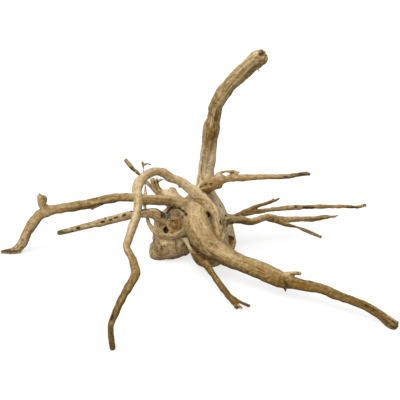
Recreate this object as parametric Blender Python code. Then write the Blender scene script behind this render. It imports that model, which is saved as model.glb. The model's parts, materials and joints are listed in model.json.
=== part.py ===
"""Red moor wood root: one piece of weathered driftwood, a knotted stump with limbs like a spider's.

The root rests on the flat underside of its stump and on the tips of its two long front limbs.
+X is to the right, +Y is to the back and +Z is up. The origin is in the flat underside of the stump.
"""

import math

import bpy
import bmesh
from mathutils import Matrix, Vector

MM = 0.001

# Fineness of the solid
VOXEL = 1.15 * MM
ROUTE_STEP = 4 * MM
SIDES = 14
LUMP_FINENESS = 4
SMOOTH_PASSES = 4
SMOOTH_SHARE = 0.45
TRIANGLES = 11400

# The slow swelling of weathered wood: (height, wavelength) of each size of bump
SWELLS = ((3.2 * MM, 24 * MM), (1.3 * MM, 9 * MM))

# How a limb's section departs from a circle: (lobes, depth as a share of the radius, turns per metre)
FLUTES = ((2, 0.07, 5.0), (3, 0.045, -8.0))

# A block of ground, whose top levels the underside
GROUND_SIZE = 1.0

WOOD_COLOUR = (0.50, 0.36, 0.20, 1.0)
WOOD_ROUGHNESS = 0.72

# Each limb is a route of (x, y, z, radius) in millimetres, from its root in the stump to its tip.
LIMBS = {
    # The stout limb that stands up from the back of the stump and leans to the right
    "upright": [
        (5, 10, 56, 15), (0, 12, 83, 11.4), (-2, 12, 101, 10.7), (-1, 10, 120, 9.9),
        (1.7, 6, 142, 9.6), (3.5, 2, 163, 9.8), (5.7, -2, 183, 10.7), (8, -4.4, 192, 9),
        (9.2, -5.5, 200, 8.6), (11.7, -8, 214, 8.5), (19.8, -13, 230, 9.4), (31.6, -19, 247.5, 9.8),
        (46.5, -26, 264.5, 10), (58.5, -32, 277.6, 10), (64.5, -35, 282, 9.5), (68.5, -37, 284.4, 7.6),
    ],
    # The thick limb in front, which bulges over the stump, then runs to the floor at the right
    "bulge": [
        (-2, -10, 88, 12), (-9, -25, 88, 12.6), (-12, -38, 80, 14.5), (-11, -50, 68, 17.3),
        (-3, -60, 55, 17.4), (9, -68, 44.4, 15.7), (25, -79, 37.5, 13), (47, -94, 32.4, 11),
        (69, -107, 29.1, 10.7), (88, -119, 26, 10), (99, -126, 25.3, 8.6), (113, -134, 25.6, 6.6),
        (136, -147, 26, 6.5), (161, -162, 22.2, 5.7), (183, -175, 19.2, 5.6), (201, -186, 13, 5.7),
        (211.5, -193.4, 7, 7), (216.5, -197.6, 5.5, 6.7), (219.6, -200.2, 4.8, 4.8),
    ],
    # The limb that grows up the bulge's right side, folds over its top, arches over the left of
    # the stump and droops to the floor in front
    "arch": [
        (20, -54, 44, 6), (16, -52, 60, 5.6), (13, -49, 73, 5.2), (9, -46, 85, 5.4), (3, -42, 92, 6),
        (-5, -38, 99, 7.1), (-15, -37, 107, 7.1), (-26, -37, 115.8, 6.1), (-35, -38, 122.6, 5.4),
        (-45, -40, 127.5, 5.6), (-55, -44, 136, 6.3), (-65, -51, 140.1, 6.5), (-75, -61, 139.6, 6.1),
        (-83, -74, 136, 6), (-86, -86, 131, 5.7), (-84, -98, 124, 5.3), (-83, -111, 118, 5.1),
        (-85, -124, 110, 5.3), (-88.8, -138, 102, 5.5), (-92.8, -151, 93, 5.3), (-94.8, -160, 87, 5.1),
        (-89.6, -170, 81, 4.9), (-85.5, -179, 75, 5.1), (-83, -190, 67, 6.2), (-87.6, -199, 60, 5),
        (-94, -209, 52, 4.6), (-99.8, -219, 44, 4.1), (-105, -228, 35, 3.7), (-109.4, -236, 26, 3.6),
        (-109.3, -242, 14, 3.8), (-107.2, -246, 4, 3.2), (-106.6, -248.5, 1, 2.2),
    ],
    # The long limb to the left, which ends in a turned-out foot
    "left_long": [
        (-5, -4, 66, 12), (-18, -4, 73, 9.6), (-30, -1, 76, 8.4), (-44, 2, 79, 7.2),
        (-61, 2, 81, 6.3), (-77, 3, 81, 6), (-96, 4, 83, 5.8), (-115, 6, 83, 5.6),
        (-134, 7, 80, 5.9), (-149, 8, 75.2, 6.5), (-171, 10, 69.4, 6.9), (-194, 11, 65.4, 7.2),
        (-210, 12, 61, 7.5), (-222, 13, 55, 6.9), (-231.2, 13, 43, 6.9), (-240.6, 12.5, 28.5, 6.6),
        (-249.5, 12, 12.5, 6.2), (-258, 11.5, 4.2, 5.3), (-268, 11, 2.6, 3.8), (-277, 11, 2, 2),
    ],
    "left_heel": [(-244, 12, 22, 4.6), (-251, 11.5, 8, 5), (-254, 11, 1, 3.6)],
    # The broken stub that stands on the left limb's bend
    "left_knob": [(-210, 12, 61, 6.2), (-217, 11, 69, 5.3), (-219, 11, 76, 4.8), (-218.4, 11, 82.4, 4.6)],
    "left_knob_tooth": [(-217.6, 11, 79, 3.5), (-212.8, 10, 81.6, 2.6), (-211.2, 10, 78.8, 1.6)],
    "left_spur": [(-145, 8, 73.4, 4.6), (-149, 8, 69.6, 3.2), (-151.4, 7, 65.4, 1.2)],
    # The shorter limb to the left, bored by worms, which hangs in the air
    "left_short": [
        (-34, -4, 40, 12), (-46, -8, 49, 10.5), (-55, -10, 57, 8.6), (-63, -12, 64, 7.4),
        (-70, -14, 69, 6.6), (-79, -17, 70, 6.2), (-93, -22, 71, 5.5), (-109, -28, 69, 5.1),
        (-127, -33, 66, 5), (-145, -39, 64, 4.6), (-163, -45, 62, 4.2), (-180, -50, 59, 3.6),
        (-190, -53, 58, 2.4),
    ],
    # The rootlet that runs as a ledge round the stump's left side, then rises behind the arch
    "rootlet": [
        (-20, -44, 66, 7), (-29, -39, 55, 5), (-37, -33, 47, 4), (-46, -29, 42, 3.8),
        (-56, -27, 42, 3.8), (-65, -24, 46, 3.8), (-72, -20, 51, 2.8), (-76, -16, 57, 2.4),
        (-78, -10, 62, 2.1), (-80, -2, 67, 2), (-82, 6, 73, 2), (-82, 13, 82, 2),
        (-81, 16, 92, 1.8), (-82, 14, 107, 1.6), (-83, 11, 122, 1.5), (-84, 8, 133, 1.2),
    ],
    "rootlet_twig": [(-83, 11, 125, 1.3), (-79, 9, 129, 1.2), (-72, 7, 128, 1)],
    # The strand that joins the lower left limb to the ledge below it
    "left_stay": [(-61, -12, 63, 5.4), (-65, -14, 56, 4.2), (-64.5, -17, 49, 4.2), (-60, -20, 43, 5)],
    # The straight stick that points up and back behind the arch
    "back_stick": [
        (-36, 26, 52, 7), (-55, 34, 66, 4), (-68, 40, 77, 2.8), (-80, 46, 88, 2.5),
        (-91, 52, 98, 2.6), (-101, 57, 106, 2.8), (-110, 62, 116, 2.5),
    ],
    # The torn-off limb at the back left, with its standing splinters
    "torn": [(-22, 18, 50, 16), (-36, 22, 62, 14), (-46, 26, 71, 12), (-53, 28, 76, 9), (-60, 30, 79, 6)],
    "torn_crown": [(-44, 27, 74, 9), (-46, 28, 83, 5.6), (-46, 28, 87, 4)],
    "splinter_a": [
        (-62, 30, 76, 4.2), (-65, 30, 80, 3.2), (-70, 30, 88, 2.4), (-73, 30, 94, 1.9), (-74, 30, 100, 1.2),
    ],
    "splinter_b": [
        (-60, 31, 77, 4.2), (-62.5, 31, 81, 3.2), (-67, 31, 89, 2.4), (-70, 31, 95, 1.9), (-71, 31, 101, 1.2),
    ],
    "splinter_c": [
        (-57, 29, 79, 4.2), (-60, 29, 82, 3.2), (-64, 29, 89, 2.4), (-66, 29, 95, 1.9), (-67, 29, 101, 1.2),
    ],
    "splinter_twig": [(-65, 29, 96, 1.6), (-61, 29, 99, 1.5), (-56, 29, 99, 1.2)],
    # A short nub of wood below the left limb
    "nub": [(-42, 12, 71, 6.5), (-50, 9, 65, 4.6), (-56, 4, 62, 3.6), (-60, -2, 58, 4)],
    # The weathered, hollowed limb at the top right, with its long thin rod
    "chunk": [
        (-2, -4, 84, 9), (-3, -12, 94, 8), (-3, -18, 102, 7.2), (1, -21, 108, 7.8),
        (7, -22, 112.5, 7.9), (13, -22, 116.5, 7.9), (18, -22, 119, 6.7), (24, -22, 119.6, 4),
        (31, -22, 121, 4), (38, -22, 120.8, 3.9), (52, -24, 122.3, 3.8), (67, -26, 123.8, 3.8),
        (92, -30, 125.8, 3.6), (107, -33, 127.8, 3.4), (121, -36, 131.8, 3.2), (130, -38, 132, 2.2),
    ],
    "chunk_nose": [(2, -22, 108, 6.4), (-5, -22, 108, 3.8), (-9, -22, 107, 2), (-11, -22, 106.7, 1)],
    "chunk_belly": [(14, -22, 111.6, 5), (18, -22, 108.2, 2.8)],
    "chunk_bridge": [
        (12, -21, 124, 3), (17, -21, 127.6, 2.1), (22, -21, 129.3, 2), (27, -21, 129.8, 2.2),
        (32, -21, 128.4, 3.4), (36, -21, 125, 3.2), (36, -21.5, 122, 3),
    ],
    "chunk_knob": [(34, -21, 129.2, 2.9), (39, -21, 128, 1.5), (41.5, -21, 128, 1)],
    "chunk_prong": [(114, -35, 130, 2.4), (121, -36, 133.6, 2), (127, -37, 134.8, 1.4)],
    # The forked limb that leans forward to the floor from below the bulge
    "front": [
        (-20, -12, 40, 11), (-17, -32, 34, 7), (-14, -48, 30, 7), (-8.2, -64, 27, 6.4), (1, -82, 24, 5.1),
        (7.8, -96, 20, 4.8), (15.6, -113, 15, 4.3), (24, -130, 11, 4), (30.6, -141, 7, 3.7),
        (36.6, -152, 3.4, 2.9),
    ],
    "front_skirt": [(-16.5, -42, 28, 6), (-14, -52, 23.5, 5.6), (-9, -62, 22, 5)],
    "front_fork": [(28, -134, 10, 3), (37, -142, 7, 2.2), (43.5, -146, 6, 2.1), (51, -150, 4.4, 1.6)],
    "front_stub": [(-32, -18, 46, 5.5), (-29, -32, 42, 4.4), (-25, -42, 38, 3.2), (-21, -50, 33, 3)],
    # The pair of thin limbs at the right, each with a fork
    "right_low": [
        (16, 4, 52, 12), (32, 4, 53, 7.3), (44, 7, 51, 5.6), (57, 11, 45.6, 5.6),
        (66, 14, 46.5, 4.9), (76, 16, 49.5, 4.5), (87, 19, 49, 4.4), (98, 22, 45.5, 4.2),
        (110, 25, 43, 3.9), (126, 30, 42, 3.6), (144, 35, 40, 3.3), (160, 39, 41, 2.8),
        (176, 43, 40, 1.8),
    ],
    "right_low_twig": [
        (82, 19, 46, 3.2), (93, 19, 43, 3.1), (106, 18, 39, 3), (121, 16, 36, 2.8),
        (136, 14, 30, 2.7), (154, 11.5, 23, 2.4),
    ],
    "right_high": [
        (16, 22, 42, 9), (34, 26, 44, 4.8), (45, 29, 48, 4.4), (58, 32, 50, 3.8),
        (75, 36, 51.2, 3.3), (92, 40, 52, 3.1), (113, 45, 52.2, 2.9), (124, 47.5, 52.2, 3.5),
        (129, 48.5, 51.8, 2.9), (150, 53, 50.6, 2.8), (169, 57, 49.1, 2.7), (190, 61, 47.4, 2.8),
        (206, 64, 45.4, 2.9), (214, 65.7, 46.2, 2.7), (220, 67, 47.4, 2.3),
    ],
    "right_high_twig": [
        (48, 30, 49.5, 4.2), (60, 33, 56, 3.1), (73, 36, 60.2, 2.6), (86, 39, 62.6, 2.7),
        (92.4, 41, 64.1, 2.3), (98.6, 43, 67.6, 1.8),
    ],
    "right_high_prong": [(84, 39, 62.5, 2.5), (88.6, 40, 66, 2), (90.8, 41, 68.6, 1.6)],
    # Small spurs on the thick front limb and on the arch
    "bulge_spur": [(90, -119, 30, 5), (102, -124, 35.5, 3.4), (109, -126, 37, 2.6), (114, -127, 36, 2)],
    "bulge_thorn": [(94, -124, 22, 4), (95.5, -125, 14.5, 2.6), (96, -125.5, 10.5, 1.8)],
    "arch_spur": [(-34, -40, 122, 3), (-35, -40, 116, 1.4), (-36, -40, 114, 0.9)],
    # Old root flares grown together down the back and sides of the stump
    "flare_back": [(-3, 18, 94, 8), (3, 30, 72, 10.5), (-4, 38, 48, 12), (5, 36, 22, 14), (8, 30, 4, 11)],
    "flare_back_left": [
        (-10, 12, 88, 8), (-25, 26, 66, 9), (-28, 35, 44, 11), (-40, 32, 22, 13), (-42, 26, 5, 10),
    ],
    "flare_back_right": [
        (3, 16, 86, 7), (15, 25, 60, 9), (19, 32, 36, 10), (27, 28, 14, 10.5), (25, 22, 4, 9),
    ],
    "back_root": [
        (12, 20, 68, 5), (13, 34, 60, 5.4), (2, 47, 50, 5.6), (-14, 48, 38, 5.8), (-28, 45, 26, 5.6),
        (-42, 42, 16, 5), (-56, 34, 9, 3.6), (-64, 28, 6, 2.4),
    ],
    "flare_right": [(4, 6, 83, 8), (13, 7, 64, 10), (23, 8, 42, 12), (26, 6, 18, 12), (24, 4, 4, 10)],
    "flare_left": [(-32, 12, 58, 14), (-50, 16, 44, 12), (-58, 17, 20, 11), (-58, 16, 5, 9)],
}

# The stump is a cluster of swollen lumps: (centre, half sizes, turn about Z in degrees), in millimetres
LUMPS = {
    "heart": ((1, 8, 38), (29, 30, 48), 0),
    "crown": ((-6, 4, 78), (17, 20, 25), 0),
    "left_belly": ((-47, -9, 31), (25, 21, 25), 0),
    "left_front": ((-55, -8, 23), (17, 20, 21), 0),
    "left_foot": ((-50, 9, 12), (23, 21, 20), 0),
    "left_corner": ((-63, 1, 9), (14, 14, 16), 20),
    "dome": ((-36, -13, 57.5), (18, 13, 17), 0),
    "right_lobe": ((-30, 9, 27), (14, 18, 29), 0),
    "eye_lid": ((2, -43, 88), (7, 5, 5), 0),
    "keel": ((3, -12, 12), (21, 24, 26), 0),
}

# Hollows rotted into the stump: (centre, half sizes, turn about Z in degrees), in millimetres
HOLLOWS = {
    "eye": ((2, -42, 78.5), (2.6, 14, 4.6), 0),
    "left_hole": ((-53, -22, 48), (3.4, 10, 4), 0),
    "right_rot": ((32.5, -4, 25), (4.2, 8, 6), 0),
    "under_limb": ((-54, -20, 65), (6.5, 10, 3.8), 0),
    "ledge": ((-51, -38, 57), (15, 13, 9), 0),
    "back_hollow": ((-14, 48, 62), (5, 10, 9), 20),
    "back_slot": ((11, 50, 26), (3.2, 9, 9), -15),
}


def smooth_route(points):
    """Catmull-Rom curve through a limb's points, as (place, radius) about every ROUTE_STEP."""
    knots = [(Vector(p[:3]) * MM, p[3] * MM) for p in points]
    first = (2 * knots[0][0] - knots[1][0], knots[0][1])
    last = (2 * knots[-1][0] - knots[-2][0], knots[-1][1])
    padded = [first] + knots + [last]
    route = []
    for (p0, r0), (p1, r1), (p2, r2), (p3, r3) in zip(padded, padded[1:], padded[2:], padded[3:]):
        steps = max(1, round((p2 - p1).length / ROUTE_STEP))
        for step in range(steps):
            t = step / steps
            weights = (
                0.5 * (-t + 2 * t**2 - t**3),
                0.5 * (2 - 5 * t**2 + 3 * t**3),
                0.5 * (t + 4 * t**2 - 3 * t**3),
                0.5 * (-(t**2) + t**3),
            )
            place = sum((w * p for w, p in zip(weights, (p0, p1, p2, p3))), Vector())
            route.append((place, r1 + (r2 - r1) * t))
    route.append(knots[-1])
    return route


def ring_frames(route):
    """A matrix for each ring of a limb: across it in X and Y, along it in Z, turning as little as it can."""
    frames = []
    turn = None
    for index, (place, radius) in enumerate(route):
        ahead = route[min(index + 1, len(route) - 1)][0] - route[max(index - 1, 0)][0]
        ahead.normalize()
        if turn is None:
            turn = ahead.to_track_quat("Z", "Y")
        else:
            turn = (turn @ Vector((0, 0, 1))).rotation_difference(ahead) @ turn
        frames.append(Matrix.LocRotScale(place, turn, Vector((radius, radius, radius))))
    return frames


def flute(ring, frame, distance):
    """Presses lobes into a ring, so that a limb isn't a round pipe."""
    inverse = frame.inverted()
    for vert in ring:
        local = inverse @ vert.co
        angle = math.atan2(local.y, local.x)
        swell = 1.0
        for lobes, depth, turns in FLUTES:
            swell += depth * math.cos(lobes * angle + math.tau * turns * distance)
        vert.co = frame @ Vector((local.x * swell, local.y * swell, local.z))


def add_limb(bm, points):
    """Extrudes a ring along a limb's route, and closes both ends."""
    route = smooth_route(points)
    frames = ring_frames(route)
    made = bmesh.ops.create_circle(bm, segments=SIDES, radius=1, matrix=frames[0])
    ring = made["verts"]
    edges = list({edge for vert in ring for edge in vert.link_edges})
    start = list(edges)
    rings = [ring]
    for before, after in zip(frames, frames[1:]):
        grown = bmesh.ops.extrude_edge_only(bm, edges=edges)["geom"]
        ring = [item for item in grown if isinstance(item, bmesh.types.BMVert)]
        edges = [item for item in grown if isinstance(item, bmesh.types.BMEdge)]
        bmesh.ops.transform(bm, verts=ring, matrix=after @ before.inverted())
        rings.append(ring)
    distance = 0.0
    for index, ring in enumerate(rings):
        if index:
            distance += (route[index][0] - route[index - 1][0]).length
        flute(ring, frames[index], distance)
    bmesh.ops.contextual_create(bm, geom=start)
    bmesh.ops.contextual_create(bm, geom=edges)


def add_lump(bm, centre, half_sizes, degrees):
    turn = Matrix.Rotation(math.radians(degrees), 4, "Z")
    sizes = Matrix.Diagonal(Vector(half_sizes) * MM).to_4x4()
    place = Matrix.Translation(Vector(centre) * MM)
    bmesh.ops.create_icosphere(bm, subdivisions=LUMP_FINENESS, radius=1, matrix=place @ turn @ sizes)


def mesh_object(name, bm):
    bmesh.ops.recalc_face_normals(bm, faces=bm.faces)
    mesh = bpy.data.meshes.new(name)
    bm.to_mesh(mesh)
    bm.free()
    shape = bpy.data.objects.new(name, mesh)
    bpy.context.collection.objects.link(shape)
    return shape


def keep_evaluated(shape):
    """Makes what the modifiers give the object's own mesh, and clears them."""
    graph = bpy.context.evaluated_depsgraph_get()
    mesh = bpy.data.meshes.new_from_object(shape.evaluated_get(graph))
    shape.modifiers.clear()
    shape.data = mesh


def add_fuse(shape):
    """One closed skin round everything that the mesh holds."""
    remesh = shape.modifiers.new("fuse", "REMESH")
    remesh.mode = "VOXEL"
    remesh.voxel_size = VOXEL


def add_cut(shape, cutter):
    boolean = shape.modifiers.new("cut", "BOOLEAN")
    boolean.operation = "DIFFERENCE"
    boolean.object = cutter


def add_ease(shape):
    """Softens the creases where limbs meet."""
    smooth = shape.modifiers.new("ease", "SMOOTH")
    smooth.factor = SMOOTH_SHARE
    smooth.iterations = SMOOTH_PASSES


def add_swells(shape):
    """Raises and sinks the skin by slow noise, so that nothing on it is quite flat or round."""
    for height, wavelength in SWELLS:
        clouds = bpy.data.textures.new("swell", "CLOUDS")
        clouds.noise_scale = wavelength
        displace = shape.modifiers.new("swell", "DISPLACE")
        displace.texture = clouds
        displace.texture_coords = "LOCAL"
        displace.mid_level = 0.5
        displace.strength = height


def thin(shape):
    """Leaves out the triangles that the shape doesn't need."""
    shape.data.calc_loop_triangles()
    decimate = shape.modifiers.new("thin", "DECIMATE")
    decimate.ratio = TRIANGLES / len(shape.data.loop_triangles)
    decimate.use_collapse_triangulate = True
    keep_evaluated(shape)


def wood_material():
    wood = bpy.data.materials.new("moor_wood")
    wood.use_nodes = True
    shader = wood.node_tree.nodes["Principled BSDF"]
    shader.inputs["Base Color"].default_value = WOOD_COLOUR
    shader.inputs["Roughness"].default_value = WOOD_ROUGHNESS
    shader.inputs["Metallic"].default_value = 0
    return wood


def main():
    for item in list(bpy.data.objects):
        bpy.data.objects.remove(item)

    bm = bmesh.new()
    for points in LIMBS.values():
        add_limb(bm, points)
    for centre, half_sizes, degrees in LUMPS.values():
        add_lump(bm, centre, half_sizes, degrees)
    root = mesh_object("moor_wood_root", bm)

    bm = bmesh.new()
    for centre, half_sizes, degrees in HOLLOWS.values():
        add_lump(bm, centre, half_sizes, degrees)
    hollows = mesh_object("hollows", bm)

    add_fuse(root)
    add_cut(root, hollows)
    add_fuse(root)
    add_ease(root)
    add_swells(root)
    keep_evaluated(root)
    thin(root)

    bm = bmesh.new()
    bmesh.ops.create_cube(bm, size=GROUND_SIZE, matrix=Matrix.Translation((0, 0, -GROUND_SIZE / 2)))
    ground = mesh_object("ground", bm)
    add_cut(root, ground)
    keep_evaluated(root)
    for cutter in (hollows, ground):
        bpy.data.objects.remove(cutter)

    root.data.materials.clear()
    root.data.materials.append(wood_material())
    root.data.shade_smooth()


main()
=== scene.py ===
# %% [markdown]
# # A red moor wood root
# Red moor wood is the trade's name for the weathered root of a shrub. This one is a knotted stump with
# some twenty limbs, which stand out from it like a spider's legs. It is one piece of wood, so the scene
# holds one piece too. The imported part is loaded first. It fixes where everything is.

# %% Load the part
import json
import math
import random

import bmesh
import bpy
import numpy as np
from mathutils import Matrix, Vector, noise
from mathutils.bvhtree import BVHTree

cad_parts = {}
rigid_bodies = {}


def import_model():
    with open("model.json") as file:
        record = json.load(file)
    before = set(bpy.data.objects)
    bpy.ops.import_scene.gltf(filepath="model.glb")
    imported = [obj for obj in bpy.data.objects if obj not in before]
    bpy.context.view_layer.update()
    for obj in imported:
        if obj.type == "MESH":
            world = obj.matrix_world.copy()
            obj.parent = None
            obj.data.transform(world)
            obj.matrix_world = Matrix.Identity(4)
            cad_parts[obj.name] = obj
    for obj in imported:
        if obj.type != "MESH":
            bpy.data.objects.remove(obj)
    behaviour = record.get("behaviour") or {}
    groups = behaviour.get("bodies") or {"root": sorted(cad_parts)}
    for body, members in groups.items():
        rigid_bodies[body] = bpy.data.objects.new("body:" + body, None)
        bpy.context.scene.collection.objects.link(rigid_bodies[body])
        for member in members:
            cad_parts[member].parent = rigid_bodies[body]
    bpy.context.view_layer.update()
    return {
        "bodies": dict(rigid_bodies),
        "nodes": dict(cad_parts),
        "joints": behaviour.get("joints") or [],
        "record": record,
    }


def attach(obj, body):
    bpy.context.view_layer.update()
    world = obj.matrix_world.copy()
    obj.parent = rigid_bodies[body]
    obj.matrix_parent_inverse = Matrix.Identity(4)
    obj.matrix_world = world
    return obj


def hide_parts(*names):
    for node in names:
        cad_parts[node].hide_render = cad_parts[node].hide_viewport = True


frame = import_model()
MM = 0.001
print("nodes:", sorted(frame["nodes"]))

# %% [markdown]
# ## The camera
# The photograph was taken from the front and a little above, with a long lens. The camera is made
# before the wood, because marks such as worm holes are placed by the pixel where the photograph shows
# them, and a ray from the camera finds the wood there.

# %% Camera
PHOTO_SIDE = 400  # pixels
PHOTO_FOCAL = 1077  # pixels
CAMERA_DISTANCE = 1.4
CAMERA_ELEVATION = math.radians(22)
CAMERA_TARGET = Vector((-0.009, -0.008, 0.085))

to_camera = Vector((0, -math.cos(CAMERA_ELEVATION), math.sin(CAMERA_ELEVATION)))
camera = bpy.data.objects.new("camera", bpy.data.cameras.new("camera"))
bpy.context.collection.objects.link(camera)
camera.location = CAMERA_TARGET + CAMERA_DISTANCE * to_camera
camera.rotation_euler = to_camera.to_track_quat("Z", "Y").to_euler()
camera.data.lens = PHOTO_FOCAL / PHOTO_SIDE * camera.data.sensor_width
bpy.context.scene.camera = camera


def photo_ray(u, v):
    """The direction in which the camera sees a pixel of the photograph."""
    aim = Vector(((u - PHOTO_SIDE / 2) / PHOTO_FOCAL, (PHOTO_SIDE / 2 - v) / PHOTO_FOCAL, -1))
    return (camera.rotation_euler.to_matrix() @ aim).normalized()


print("lens:", round(camera.data.lens, 2), "mm")
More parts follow.
